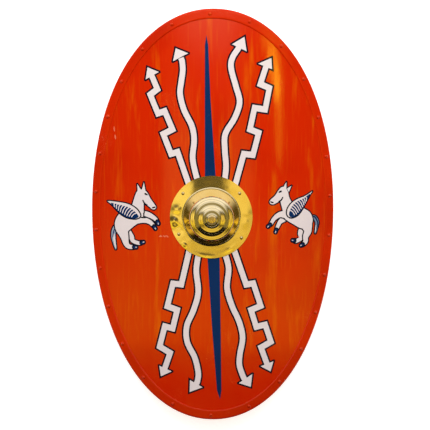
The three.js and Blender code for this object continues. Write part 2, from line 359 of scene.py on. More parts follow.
# The traditional thunderbolt arrows: each line runs out from the boss and ends where its head begins.
# Each head is its left barb, its tip and its right barb.
ZIGZAG_ARROWS = [
    (
        [(-68, 96), (-93, 168), (-110, 163), (-130, 214), (-106, 226), (-126, 273), (-144, 267)]
        + [(-164, 315), (-145, 329), (-158, 360)],
        [(-176, 354), (-171, 385), (-141, 373)],
    ),
    (
        [(57, 87), (78, 163), (102, 160), (117, 217), (94, 226), (106, 281), (134, 277), (145, 332)]
        + [(121, 342), (134, 386)],
        [(115, 394), (150, 409), (152, 380)],
    ),
    (
        [(-66, -99), (-84, -176), (-106, -174), (-121, -234), (-95, -243), (-107, -292), (-128, -287)]
        + [(-142, -341), (-114, -357), (-127, -396)],
        [(-143, -392), (-139, -420), (-110, -406)],
    ),
    (
        [(58, -99), (85, -177), (104, -174), (124, -234), (98, -244), (112, -289), (136, -284)]
        + [(152, -330), (125, -344), (140, -386)],
        [(124, -394), (151, -409), (159, -382)],
    ),
]
WAVY_ARROWS = [
    (
        [(-40, 93), (-46, 111), (-54, 153), (-50, 199), (-56, 235), (-76, 276), (-86, 316), (-83, 347)]
        + [(-79, 377), (-81, 404)],
        [(-104, 400), (-97, 433), (-65, 420)],
    ),
    (
        [(29, 96), (32, 132), (29, 173), (30, 214), (54, 255), (67, 296), (57, 337), (45, 382), (48, 408)]
        + [(64, 433)],
        [(47, 443), (79, 462), (85, 425)],
    ),
    (
        [(-38, -91), (-45, -138), (-40, -195), (-52, -242), (-70, -285), (-69, -327), (-49, -369)]
        + [(-40, -411), (-44, -437)],
        [(-62, -428), (-63, -460), (-29, -447)],
    ),
    (
        [(28, -91), (39, -133), (35, -185), (48, -232), (67, -275), (76, -317), (69, -360), (68, -391)]
        + [(80, -426)],
        [(66, -437), (98, -448), (102, -414)],
    ),
]
SPINES = [
    [(-22.4, 60), (-22.6, 300), (-22.2, 440), (-18.6, 466), (-13.6, 440), (-7.6, 300), (8.3, 60)],
    [(-19, -60), (-3.4, -300), (8.6, -455), (17, -480), (20.6, -455), (18.6, -300), (14.8, -60)],
]
ZIGZAG_HALF = 7.2
ZIGZAG_STEP_HALF = 7.8
WAVY_HALF = 7.2
OUTLINE_WIDTH = 4.3

# How far an arrow's line runs on under the boss, and into its head
TUCKED_UNDER_BOSS = 26
NECK_SHARE = 0.15


def arrow_parts(line, head, halves):
    """Dark and white polygons of one arrow, dark ones first."""
    start = np.array(line[0], float)
    run = start - np.array(line[1], float)
    line = [start + run / np.linalg.norm(run) * TUCKED_UNDER_BOSS] + list(line[1:])
    neck = np.array(line[-1], float)
    into = np.array(head[1], float) - neck
    line[-1] = neck + into * NECK_SHARE
    wide = [half + OUTLINE_WIDTH for half in halves]
    dark = [(LINE, stroke(line, wide)), (LINE, grown(head, OUTLINE_WIDTH))]
    return dark, [(WHITE, stroke(line, halves)), (WHITE, head)]


def arrows():
    """Every polygon of the eight arrows."""
    parts = []
    for line, head in ZIGZAG_ARROWS:
        halves = [ZIGZAG_STEP_HALF if i % 2 else ZIGZAG_HALF for i in range(len(line) - 1)]
        dark, white = arrow_parts(line, head, halves)
        parts += dark + white
    for points, head in WAVY_ARROWS:
        line = smooth_line(points, 6)
        dark, white = arrow_parts(line, head, [WAVY_HALF] * (len(line) - 1))
        parts += dark + white
    return parts


# Small pale marks, as (x, y, half width) strokes: the first two are painted highlights of uneven places in
# the board, the others pale marks near the foot and beside the boss
PALE_MARKS = [
    [(-263, 233, 0.8), (-263, 227, 1.9), (-262, 221, 1.0)],
    [(-261, 211, 1.2), (-260, 206, 2.3), (-259, 201, 1.2)],
    [(-229, -364, 1.0), (-229, -369, 2.0), (-228, -374, 1.0)],
    [(-142, -52, 0.9), (-138, -50, 2.0), (-134, -52, 0.8)],
    [(-131, -49, 0.9), (-127, -52, 1.9), (-124, -49, 1.2), (-120, -51, 2.2), (-118, -53, 0.8)],
]


# Two generic winged horses, drawn facing right about the middle of their own place
HORSE_LEFT = {
    "middle": (-209, 0),
    "facing": 1,
    "tail": [(-50, -22, 3), (-57, -38, 5.4), (-58, -58, 5.6), (-52, -86, 2.2)],
    "tail_streaks": [
        (NAVY, [(-50, -26, 0.8), (-57, -40, 1.5), (-60, -56, 0.9)]),
        (WHITE, [(-56, -48, 1.2), (-56, -62, 2.9), (-52, -83, 1.5)]),
    ],
    "far": [
        [(-22, -38, 11), (-8, -54, 7), (-4, -64, 5.2), (12, -70, 4.6), (20, -68, 4.4)],
        [(18, 6, 10), (38, 5, 6.8), (55, -4, 5.2), (62, -12, 4.2)],
    ],
    "far_hooves": [[(20, -69, 3.2), (25, -67, 3.5)], [(63, -13, 3.3), (65, -18, 3.6)]],
    "near": [
        [(-34, -34, 17), (-27, -54, 11), (-23, -70, 8), (-16, -79, 6), (-2, -81, 4.8)],
        [(8, -8, 11), (26, -9, 7.4), (42, -14, 5.6), (53, -24, 4.4)],
        [(16, 58, 11), (12, 38, 14), (8, 14, 18)],
    ],
    "near_hooves": [[(0, -81, 3.4), (5, -81, 3.6)], [(54, -26, 3.4), (57, -31, 3.6)]],
    "body": [(14, 24), (-8, 24), (-28, 16), (-46, 0), (-54, -20), (-50, -38), (-36, -46), (-20, -41)]
    + [(-4, -28), (10, -18), (22, -6), (24, 10)],
    "head": [(12, 60), (17, 69), (27, 70), (36, 62), (45, 46), (56, 31), (59, 24), (55, 19), (48, 20)]
    + [(38, 28), (28, 34), (18, 38), (10, 46)],
    "ears": [[(10, 64), (9, 84), (20, 68)], [(21, 68), (27, 89), (31, 66)]],
    "eye": (33, 58),
    "jaw": [(24, 42), (28, 35), (35, 30)],
    "mouth": [(50, 23), (56, 25)],
    "creases": [[(17, -2), (26, -3), (33, -2)]],
    "wing": [(-74, 38), (-60, 38), (-42, 36), (-18, 32), (4, 21), (16, 6), (14, -2), (2, -6), (-20, -3)]
    + [(-40, 8), (-58, 25), (-67, 33)],
    "feathers": [(-65, 34), (-44, 30), (-20, 25), (-2, 16), (8, 6), (12, -1), (2, -6), (-20, -3), (-40, 8)]
    + [(-58, 25)],
    "bar_ends": (
        [(-58, 27), (-40, 12), (-20, 1), (0, -3), (10, -2)],
        [(-60, 35), (-38, 31), (-17, 26), (2, 17), (10, 6)],
    ),
}
HORSE_RIGHT = {
    "middle": (209, 0),
    "facing": -1,
    "tail": [(-54, -4, 3), (-64, -6, 4.6), (-71, -20, 4.8), (-66, -46, 2.0)],
    "tail_streaks": [
        (NAVY, [(-55, -3, 1.2), (-65, -5, 2.2), (-73, -20, 1.8), (-70, -36, 0.9)]),
        (WHITE, [(-68, -26, 0.8), (-67, -36, 1.3), (-66, -44, 0.9)]),
    ],
    "far": [
        [(-34, -26, 12), (-24, -46, 8), (-26, -58, 5.4), (-12, -66, 4.8), (-6, -65, 4.4)],
        [(16, -2, 10), (32, -13, 6), (38, -22, 5), (43, -33, 4.2)],
    ],
    "far_hooves": [[(-6, -65, 3.2), (-1, -64, 3.5)], [(44, -35, 3.2), (46, -41, 3.4)]],
    "near": [
        [(-40, -20, 17), (-44, -40, 11), (-38, -56, 7.4), (-38, -68, 6), (-30, -76, 4.8)],
        [(10, 2, 11), (32, 5, 7.4), (48, -4, 5.4), (59, -20, 4.4)],
        [(22, 62, 10), (20, 42, 13), (10, 18, 17)],
    ],
    "near_hooves": [[(-30, -76, 3.4), (-25, -78, 3.6)], [(61, -22, 3.4), (66, -26, 3.6)]],
    "body": [(12, 30), (-8, 26), (-30, 20), (-50, 8), (-58, -10), (-54, -26), (-40, -34), (-22, -32)]
    + [(-4, -22), (10, -14), (22, -4), (24, 14)],
    "head": [(14, 66), (20, 75), (30, 76), (38, 68), (48, 54), (60, 43), (62, 36), (57, 32), (50, 32)]
    + [(40, 37), (31, 41), (21, 44), (13, 52)],
    "ears": [[(10, 63), (3, 79), (15, 72)], [(17, 70), (17, 89), (27, 73)]],
    "eye": (34, 64),
    "jaw": [(27, 49), (31, 42), (37, 39)],
    "mouth": [(53, 36), (59, 38)],
    "creases": [],
    "wing": [(-56, 63), (-46, 57), (-32, 50), (-12, 43), (5, 31), (14, 16), (13, 2), (2, -4), (-14, 2)]
    + [(-28, 18), (-40, 38), (-50, 55)],
    "feathers": [(-50, 57), (-32, 46), (-13, 38), (0, 27), (7, 14), (9, 3), (2, -4), (-14, 2), (-28, 18)]
    + [(-40, 38)],
    "bar_ends": (
        [(-42, 42), (-28, 22), (-13, 6), (2, 0), (9, 2)],
        [(-42, 52), (-30, 47), (-11, 39), (3, 28), (9, 13)],
    ),
}
HORSE_LINE = 3.4
FINE_LINE = 1.8

# White bars of a wing: their count, half width, bulge and how far their lower ends lag behind
BARS = 9
BAR_HALF = 1.25
BAR_BULGE = 1.5
BAR_LAG = 0.82

# Half the eye's length, how much it slants and half its width
EYE_REACH = 2.4
EYE_SLANT = 1.0
EYE_HALF = 2.5

# The white toe of a hoof, as shares of the hoof's length and half its width
TOE_SHARES = (0.7, 1.3)
TOE_HALF = 1.0


def along(line, share):
    """The point at a share of a line's length."""
    places = np.array(line, float)
    lengths = np.concatenate([[0], np.cumsum(np.linalg.norm(np.diff(places, axis=0), axis=1))])
    at = share * lengths[-1]
    return tuple(np.interp(at, lengths, places[:, k]) for k in (0, 1))


def horse(drawing):
    """All painted polygons of one winged horse, from the lowest layer to the highest."""

    def place(polygon):
        middle = drawing["middle"]
        return [(middle[0] + drawing["facing"] * p[0], middle[1] + p[1]) for p in polygon]

    def fine(points, half):
        return limb([(x, y, half) for x, y in points], 4)

    parts = []

    def paint(kind, polygon, edge=0.0):
        if edge:
            parts.append((LINE, place(grown(polygon, edge))))
        parts.append((kind, place(polygon)))

    def hoof(points):
        paint(NAVY, limb(points), HORSE_LINE)
        (ax, ay, _), (bx, by, _) = points
        toe = [(ax + (bx - ax) * share, ay + (by - ay) * share, TOE_HALF) for share in TOE_SHARES]
        paint(WHITE, limb(toe, 2))

    paint(GREY, limb(drawing["tail"]), HORSE_LINE)
    for kind, streak in drawing["tail_streaks"]:
        paint(kind, limb(streak))
    for leg in drawing["far"]:
        paint(WHITE, limb(leg), HORSE_LINE)
    for points in drawing["far_hooves"]:
        hoof(points)
    whole = [smooth_line(drawing["body"], 5, True), smooth_line(drawing["head"], 5, True)]
    whole += [limb(leg) for leg in drawing["near"]] + drawing["ears"]
    parts += [(LINE, place(grown(polygon, HORSE_LINE))) for polygon in whole]
    parts += [(WHITE, place(polygon)) for polygon in whole]
    for points in drawing["near_hooves"]:
        hoof(points)
    for points in [drawing["jaw"], drawing["mouth"]] + drawing["creases"]:
        paint(LINE, fine(points, FINE_LINE))
    x, y = drawing["eye"]
    eye = [(x - EYE_REACH, y + EYE_SLANT, EYE_HALF), (x + EYE_REACH, y - EYE_SLANT, EYE_HALF * 0.8)]
    paint(LINE, limb(eye, 2))
    paint(WHITE, smooth_line(drawing["wing"], 4, True), HORSE_LINE)
    paint(NAVY, smooth_line(drawing["feathers"], 4, True))
    low_edge, high_edge = drawing["bar_ends"]
    for i in range(BARS):
        share = (i + 0.7) / (BARS + 0.2)
        low = along(low_edge, share * BAR_LAG)
        high = along(high_edge, share)
        middle = ((low[0] + high[0]) / 2 - BAR_BULGE, (low[1] + high[1]) / 2 + BAR_BULGE)
        paint(WHITE, limb([(*low, BAR_HALF), (*middle, BAR_HALF), (*high, BAR_HALF * 1.2)], 3))
    return parts


def artwork():
    """Every painted polygon of the board's face, from the lowest layer to the highest."""
    parts = [(NAVY, spine) for spine in SPINES] + arrows() + horse(HORSE_LEFT) + horse(HORSE_RIGHT)
    # The small pale marks, partly painted highlights of uneven places
    parts += [(PALE_MARK, limb(pale_stroke, 2)) for pale_stroke in PALE_MARKS]
    return [(paint, counter_clockwise([tuple(map(float, p)) for p in polygon])) for paint, polygon in parts]


# Node helpers


class Nodes:
    """Adds nodes to a tree and joins them."""

    def __init__(self, tree):
        self.tree = tree
        self.made = 0

    def add(self, kind, inputs=None, **values):
        """A new node, with its values set and its inputs joined."""
        node = self.tree.nodes.new(kind)
        node.location = (self.made % 12 * 190, -(self.made // 12) * 260)
        self.made += 1
        for key, value in values.items():
            setattr(node, key, value)
        for key, value in (inputs or {}).items():
            self.join(value, node.inputs[key])
        return node

    def join(self, value, socket):
        """Links a socket or a node's first output, or sets a plain value."""
        if isinstance(value, bpy.types.NodeSocket):
            self.tree.links.new(value, socket)
        elif isinstance(value, bpy.types.Node):
            self.tree.links.new(value.outputs[0], socket)
        else:
            socket.default_value = value

    def math(self, operation, *values, clamp=False):
        """The value of a sum, product or the like."""
        node = self.add("ShaderNodeMath", operation=operation, use_clamp=clamp)
        for i, value in enumerate(values):
            self.join(value, node.inputs[i])
        return node.outputs[0]

    def noise(self, vector, scale, detail=3.0, roughness=0.5, distortion=0.0):
        """Cloudy noise at the coordinates."""
        node = self.add("ShaderNodeTexNoise")
        sockets = {"Vector": vector, "Scale": scale, "Detail": detail}
        sockets.update({"Roughness": roughness, "Distortion": distortion})
        for key, value in sockets.items():
            self.join(value, node.inputs[key])
        return node.outputs["Fac"]

    def inverse(self, value):
        """1 where the value is 0, and 0 where it is 1."""
        return self.math("SUBTRACT", 1.0, value)

    def ramp(self, value, low, high):
        """0 below low and 1 above high."""
        node = self.add("ShaderNodeMapRange", interpolation_type="SMOOTHSTEP")
        self.join(value, node.inputs["Value"])
        self.join(low, node.inputs["From Min"])
        self.join(high, node.inputs["From Max"])
        return node.outputs["Result"]

    def mix(self, factor, a, b):
        """Colour a where the factor is 0, and colour b where it is 1."""
        node = self.add("ShaderNodeMix", data_type="RGBA")
        self.join(factor, node.inputs[0])
        self.join(a, node.inputs[6])
        self.join(b, node.inputs[7])
        return node.outputs[2]

    def stretched(self, vector, scale, shift=(0, 0, 0)):
        """Coordinates scaled and moved by the axis."""
        node = self.add("ShaderNodeMapping")
        self.join(vector, node.inputs["Vector"])
        self.join(scale, node.inputs["Scale"])
        self.join(shift, node.inputs["Location"])
        return node.outputs["Vector"]


# Moves the long orange streaks of thin paint, which are partly a painted reflection, along their noise
SHEEN_STREAK_SHIFT = 3.7

# Where painted shade darkens the paint towards the board's foot
FOOT_SHADE_START = -0.28
FOOT_SHADE_FULL = -0.32


def opaque(colour):
    """A colour with its alpha."""
    return (*colour, 1.0)


def shader_group(name, inputs, outputs):
    """A shader node group with named sockets."""
    tree = bpy.data.node_groups.new(name, "ShaderNodeTree")
    for socket, kind, default in inputs:
        made = tree.interface.new_socket(socket, in_out="INPUT", socket_type=kind)
        if default is not None:
            made.default_value = default
    for socket, kind in outputs:
        tree.interface.new_socket(socket, in_out="OUTPUT", socket_type=kind)
    nodes = Nodes(tree)
    entry = nodes.add("NodeGroupInput")
    leave = nodes.add("NodeGroupOutput")
    return nodes, entry, leave


def make_brushed_paint_group():
    """Hand-brushed paint: long streaks, partly a painted reflection, soft clouds, specks, the relief of the
    brush, and painted shade towards the board's foot.
    """
    nodes, entry, leave = shader_group(
        "Scutum brushed paint",
        [
            ("Vector", "NodeSocketVector", None),
            ("Paint", "NodeSocketColor", (0.5, 0.05, 0.0, 1.0)),
            ("Thin", "NodeSocketColor", (0.8, 0.2, 0.0, 1.0)),
            ("Thick", "NodeSocketColor", (0.3, 0.0, 0.0, 1.0)),
            ("Streaks", "NodeSocketFloat", 0.5),
            ("Clouds", "NodeSocketFloat", 0.5),
            ("Gloss", "NodeSocketFloat", 0.2),
        ],
        [("Color", "NodeSocketColor"), ("Roughness", "NodeSocketFloat"), ("Height", "NodeSocketFloat")],
    )
    vector = entry.outputs["Vector"]
    paint, thin_paint_and_sheen, thick_paint_and_shade = (entry.outputs[name] for name in ("Paint", "Thin", "Thick"))
    long_place = nodes.stretched(vector, (30, 3.4, 30), (SHEEN_STREAK_SHIFT, 0, 0))
    long_streaks_and_sheen = nodes.noise(long_place, 1.0, 4.0, 0.6, 0.25)
    fine_streaks = nodes.noise(nodes.stretched(vector, (160, 9, 160)), 1.0, 3.0, 0.55)
    clouds = nodes.noise(vector, 5.5, 3.0, 0.5, 0.3)
    along_board = nodes.add("ShaderNodeSeparateXYZ", {"Vector": vector}).outputs[1]
    # above_foot is 0 in the painted shade at the board's foot and 1 above it
    above_foot = nodes.ramp(nodes.math("MULTIPLY_ADD", clouds, 0.10, along_board), FOOT_SHADE_FULL, FOOT_SHADE_START)
    streaks = nodes.math("MULTIPLY_ADD", above_foot, 0.85, 0.15)
    streaks = nodes.math("MULTIPLY", streaks, entry.outputs["Streaks"])
    # The long streaks: thin paint, and on the red partly a painted reflection
    thin = nodes.math("MULTIPLY", nodes.ramp(long_streaks_and_sheen, 0.52, 0.74), streaks)
    thick = nodes.math("MULTIPLY", nodes.ramp(clouds, 0.48, 0.72), entry.outputs["Clouds"])
    colour = nodes.mix(thin, paint, thin_paint_and_sheen)
    colour = nodes.mix(thick, colour, thick_paint_and_shade)
    faint = nodes.math("MULTIPLY", nodes.ramp(fine_streaks, 0.52, 0.8), 0.35)
    colour = nodes.mix(nodes.math("MULTIPLY", faint, streaks), colour, thin_paint_and_sheen)
    # Painted shade: the paint darkens towards the board's foot, in the thick paint's deep colour
    foot = nodes.math("MULTIPLY_ADD", above_foot, -1.2, 1.2)
    foot = nodes.math("MULTIPLY", foot, entry.outputs["Clouds"], clamp=True)
    colour = nodes.mix(foot, colour, thick_paint_and_shade)
    specks = nodes.ramp(nodes.noise(vector, 260.0, 2.0, 0.6), 0.72, 0.8)
    colour = nodes.mix(nodes.math("MULTIPLY", specks, 0.25), colour, thick_paint_and_shade)
    worn = nodes.math("MULTIPLY", nodes.noise(vector, 14.0, 4.0, 0.6), 0.08)
    rough = nodes.math("ADD", entry.outputs["Gloss"], worn)
    rough = nodes.math("ADD", rough, nodes.math("MULTIPLY", specks, 0.15))
    peel = nodes.math("MULTIPLY", nodes.noise(vector, 420.0, 2.0, 0.5), 0.35)
    height = nodes.math("ADD", nodes.math("MULTIPLY", fine_streaks, 0.65), peel)
    nodes.join(colour, leave.inputs["Color"])
    nodes.join(rough, leave.inputs["Roughness"])
    nodes.join(height, leave.inputs["Height"])
    return nodes.tree


def make_scuffs_group():
    """Handling marks: a few fine scratches and rubbed places."""
    nodes, entry, leave = shader_group(
        "Scutum scuffs",
        [
            ("Vector", "NodeSocketVector", None),
            ("Color", "NodeSocketColor", (0.5, 0.5, 0.5, 1.0)),
            ("Rubbed", "NodeSocketColor", (0.8, 0.5, 0.4, 1.0)),
            ("Roughness", "NodeSocketFloat", 0.3),
            ("Amount", "NodeSocketFloat", 0.3),
        ],
        [("Color", "NodeSocketColor"), ("Roughness", "NodeSocketFloat"), ("Mask", "NodeSocketFloat")],
    )
    vector = entry.outputs["Vector"]
    bent = nodes.add("ShaderNodeVectorMath", operation="ADD")
    wander = nodes.add("ShaderNodeTexNoise", {"Vector": vector, "Scale": 7.0})
    nodes.join(vector, bent.inputs[0])
    nodes.join(wander.outputs["Color"], bent.inputs[1])
    lines = []
    for scale in ((90, 9, 40), (11, 120, 50)):
        thin = nodes.noise(nodes.stretched(bent.outputs[0], scale), 1.0, 0.0, 0.5)
        near = nodes.math("ABSOLUTE", nodes.math("SUBTRACT", thin, 0.5))
        lines.append(nodes.inverse(nodes.ramp(near, 0.002, 0.007)))
    patches = nodes.ramp(nodes.noise(vector, 9.0, 3.0, 0.6), 0.6, 0.72)
    scratch = nodes.math("MULTIPLY", nodes.math("MAXIMUM", *lines), patches)
    rub = nodes.math("MULTIPLY", nodes.ramp(nodes.noise(vector, 60.0, 4.0, 0.7), 0.62, 0.8), patches)
    mask = nodes.math("MAXIMUM", scratch, nodes.math("MULTIPLY", rub, 0.5))
    mask = nodes.math("MULTIPLY", mask, entry.outputs["Amount"], clamp=True)
    nodes.join(nodes.mix(mask, entry.outputs["Color"], entry.outputs["Rubbed"]), leave.inputs["Color"])
    nodes.join(
        nodes.math("ADD", entry.outputs["Roughness"], nodes.math("MULTIPLY", mask, 0.3)),
        leave.inputs["Roughness"],
    )
    nodes.join(mask, leave.inputs["Mask"])
    return nodes.tree


def group_node(nodes, name):
    """Places a shared shader group, which is made the first time."""
    tree = bpy.data.node_groups.get(name)
    if tree is None:
        tree = GROUP_MAKERS[name]()
    return nodes.add("ShaderNodeGroup", node_tree=tree)


GROUP_MAKERS = {
    "Scutum brushed paint": make_brushed_paint_group,
    "Scutum scuffs": make_scuffs_group,
}


def new_material(name):
    """An empty material with a Principled shader, and the object's own coordinates."""
    material = bpy.data.materials.new(name)
    material.use_nodes = True
    material.node_tree.nodes.clear()
    nodes = Nodes(material.node_tree)
    shader = nodes.add("ShaderNodeBsdfPrincipled")
    output = nodes.add("ShaderNodeOutputMaterial")
    nodes.join(shader.outputs[0], output.inputs[0])
    place = nodes.add("ShaderNodeTexCoord").outputs["Object"]
    return material, nodes, shader, place


def add_bump(nodes, shader, height, strength, distance):
    """Gives the shader fine relief from a height."""
    bump = nodes.add("ShaderNodeBump")
    nodes.join(height, bump.inputs["Height"])
    bump.inputs["Strength"].default_value = strength
    bump.inputs["Distance"].default_value = distance
    nodes.join(bump.outputs[0], shader.inputs["Normal"])


# Tints of the gloss on the red paint and on the other paints
WARM_SHINE = (1.0, 0.86, 0.40)
PLAIN_SHINE = (1.0, 1.0, 1.0)


def paint_material(
    name, paint, thin, thick, *, streaks, clouds, gloss, scuffs, rubbed, shine, tint=PLAIN_SHINE
):
    """Brushed paint with a few handling marks."""
    material, nodes, shader, place = new_material(name)
    film = group_node(nodes, "Scutum brushed paint")
    values = {"Vector": place, "Paint": opaque(paint), "Thin": opaque(thin), "Thick": opaque(thick)}
    values.update({"Streaks": streaks, "Clouds": clouds, "Gloss": gloss})
    for key, value in values.items():
        nodes.join(value, film.inputs[key])
    marks = group_node(nodes, "Scutum scuffs")
    values = {"Vector": place, "Color": film.outputs["Color"], "Rubbed": opaque(rubbed)}
    values.update({"Roughness": film.outputs["Roughness"], "Amount": scuffs})
    for key, value in values.items():
        nodes.join(value, marks.inputs[key])
    nodes.join(marks.outputs["Color"], shader.inputs["Base Color"])
    nodes.join(marks.outputs["Roughness"], shader.inputs["Roughness"])
    shader.inputs["Specular IOR Level"].default_value = shine
    shader.inputs["Specular Tint"].default_value = opaque(tint)
    add_bump(nodes, shader, film.outputs["Height"], 0.35, 0.0002)
    return material


def scaled_colour(colour, *factors):
    """A colour with each of its parts multiplied."""
    return tuple(min(c * f, 1.0) for c, f in zip(colour, factors))


def board_materials():
    """The board's paints, in the order of their numbers."""
    board = bpy.context.scene.scutum_board
    red = board.red
    # The orange thin red of the streaks is partly a painted reflection
    thin_red_and_sheen = scaled_colour(red, 1.12, 5.0, 1.5)
    deep_red = scaled_colour(red, 0.82, 0.45, 0.6)
    return [
        paint_material(
            "red_paint", red, thin_red_and_sheen, deep_red,
            streaks=1.0, clouds=0.45, gloss=0.06, scuffs=0.35, rubbed=(0.85, 0.20, 0.06), shine=0.55,
            tint=WARM_SHINE,
        ),
        paint_material(
            "white_paint", board.white, scaled_colour(board.white, 1, 0.94, 0.95),
            scaled_colour(board.white, 0.92, 0.9, 0.94),
            streaks=0.5, clouds=0.4, gloss=0.22, scuffs=0.1, rubbed=(0.6, 0.5, 0.5), shine=0.25,
        ),
        paint_material(
            "navy_paint", board.navy, scaled_colour(board.navy, 2.5, 1.8, 1.5),
            scaled_colour(board.navy, 0.6, 0.6, 0.6),
            streaks=0.5, clouds=0.4, gloss=0.22, scuffs=0.1, rubbed=(0.1, 0.15, 0.25), shine=0.1,
        ),
        paint_material(
            "outline_paint", board.line, scaled_colour(board.line, 2.0, 1.8, 1.8),
            scaled_colour(board.line, 0.6, 0.6, 0.6),
            streaks=0.4, clouds=0.3, gloss=0.25, scuffs=0.0, rubbed=(0.1, 0.1, 0.1), shine=0.08,
        ),
        paint_material(
            "grey_paint", board.grey, scaled_colour(board.grey, 1.6, 1.5, 1.4),
            scaled_colour(board.grey, 0.5, 0.55, 0.7),
            streaks=0.9, clouds=0.8, gloss=0.22, scuffs=0.0, rubbed=(0.1, 0.1, 0.1), shine=0.2,
        ),
        paint_material(
            "back_paint", scaled_colour(red, 0.85, 0.9, 0.9), thin_red_and_sheen, deep_red,
            streaks=0.35, clouds=0.3, gloss=0.34, scuffs=0.8, rubbed=(0.75, 0.32, 0.2), shine=0.1,
        ),
        paint_material(
            # Pale paint of the small marks, partly painted highlights
            "pale_mark_paint", (0.66, 0.13, 0.06), (0.74, 0.30, 0.18), (0.55, 0.05, 0.01),
            streaks=1.0, clouds=0.6, gloss=0.5, scuffs=0.0, rubbed=(0.8, 0.5, 0.4), shine=0.2,
        ),
    ]


# Board


# Steps round the board's edge and round its hand hole
EDGE_STEPS = 256
HOLE_STEPS = 72

# Gap between the board's edge and the inside of the rim's fold
EDGE_GAP = 0.5 * MM

# Spacing of the staggered grid's rows, and how near a painted edge its points may come, as shares
ROW_SHARE = 0.866
CLEAR_SHARE = 0.38

# Start and scale of the baking map for the front and the back, and the walls' strips beside the back
FRONT_MAP = (0.01, 0.01, 0.00088)
BACK_MAP = (0.61, 0.01, 0.00056)
WALL_MAP = (0.62, 0.65)
WALL_MAP_LENGTH = 0.36
WALL_MAP_ROW = 0.06
WALL_MAP_HEIGHT = 0.02


def face_grid(spacing, outline, segments):
    """A staggered grid of points over the outline's box, clear of every painted edge."""
    reach = np.abs(outline).max(axis=0)
    rows = []
    half_count = int(reach[1] / (spacing * ROW_SHARE)) + 1
    for row in range(-half_count, half_count + 1):
        shift = spacing / 2 if row % 2 else 0.0
        steps = int(reach[0] / spacing) + 1
        rows += [(k * spacing + shift, row * spacing * ROW_SHARE) for k in range(-steps, steps + 1)]
    points = np.array(rows)
    starts, ends = segments
    along = ends - starts
    squared = np.maximum((along**2).sum(1), 1e-9)
    kept = []
    block_size = 400
    for block in np.array_split(points, max(1, len(points) // block_size)):
        offset = block[:, None, :] - starts[None]
        share = np.clip((offset * along[None]).sum(2) / squared[None], 0, 1)
        gap = np.linalg.norm(offset - share[..., None] * along[None], axis=2).min(1)
        kept.append(block[gap > spacing * CLEAR_SHARE])
    return np.concatenate(kept)


def subdivided(polygon, longest):
    """A polygon whose long edges are split."""
    made = []
    for a, b in zip(polygon, polygon[1:] + polygon[:1]):
        steps = max(1, int(math.dist(a, b) / longest))
        made += [(a[0] + (b[0] - a[0]) * k / steps, a[1] + (b[1] - a[1]) * k / steps) for k in range(steps)]
    return made


def board_outline():
    """The board's flat outline and its hand hole, in millimetres, counter-clockwise."""
    fold = (FIT_GAP * 2 + BOARD_THICKNESS) / 2 + bpy.context.scene.scutum_rim.sheet
    inset = fold + EDGE_GAP
    turns = [-2 * math.pi * i / EDGE_STEPS for i in range(EDGE_STEPS)]
    outline = [tuple(inset_point(turn, inset) / MM) for turn in turns]
    board = bpy.context.scene.scutum_board
    middle = bpy.context.scene.scutum_boss.offset / MM
    radius = board.hand_hole_radius / MM
    turns = [2 * math.pi * i / HOLE_STEPS for i in range(HOLE_STEPS)]
    hole = [(middle + radius * math.cos(turn), radius * math.sin(turn)) for turn in turns]
    return counter_clockwise(outline), hole


def painted_face(parts, spacing):
    """Cuts the flat face along the painted polygons. Returns its points, triangles and paints."""
    outline, hole = board_outline()
    polygons = [outline, hole] + [subdivided(polygon, spacing) for _, polygon in parts]
    starts = np.concatenate([np.array(polygon, float) for polygon in polygons])
    ends = np.concatenate([np.roll(np.array(polygon, float), -1, axis=0) for polygon in polygons])
    inside = face_grid(spacing, np.array(outline), (starts, ends))
    points = []
    faces = []
    for polygon in polygons:
        faces.append(list(range(len(points), len(points) + len(polygon))))
        points += polygon
    points += [tuple(point) for point in inside]
    made = geometry.delaunay_2d_cdt([Vector(point) for point in points], [], faces, 0, 1e-4, True)
    vertices, triangles, sources = made[0], made[2], made[5]
    kept = []
    paints = []
    for triangle, source in zip(triangles, sources):
        if 0 in source and 1 not in source:
            top = max(source)
            kept.append(triangle)
            paints.append(parts[top - 2][0] if top > 1 else RED)
    used = sorted({corner for triangle in kept for corner in triangle})
    order = {corner: i for i, corner in enumerate(used)}
    kept = [[order[corner] for corner in triangle] for triangle in kept]
    return [tuple(vertices[corner]) for corner in used], kept, paints


def front_level(u, v):
    """Height of the hand-made front face over its true curve. It never rises into the boss."""
    waviness = bpy.context.scene.scutum_board.waviness
    broad = unevenness(u, v * 0.5, 0.085, 3.1) * 0.75
    streaky = unevenness(u * 1.6, v * 0.3, 0.05, 9.7) * 0.25
    return waviness * (broad + streaky) - waviness * 0.2


def surface_normal(u, v, level):
    """Upward normal of a curved face whose height comes from level(u, v)."""
    step = 0.0005
    across = bend(u + step, v, level(u + step, v)) - bend(u - step, v, level(u - step, v))
    along = bend(u, v + step, level(u, v + step)) - bend(u, v - step, level(u, v - step))
    return across.cross(along).normalized()


def wall_faces(polygon, first):
    """Faces of a wall whose points are stored as pairs of front and back."""
    count = len(polygon)
    return [
        (first + 2 * i, first + 2 * i + 1, first + 2 * after + 1, first + 2 * after)
        for i, after in ((i, (i + 1) % count) for i in range(count))
    ]


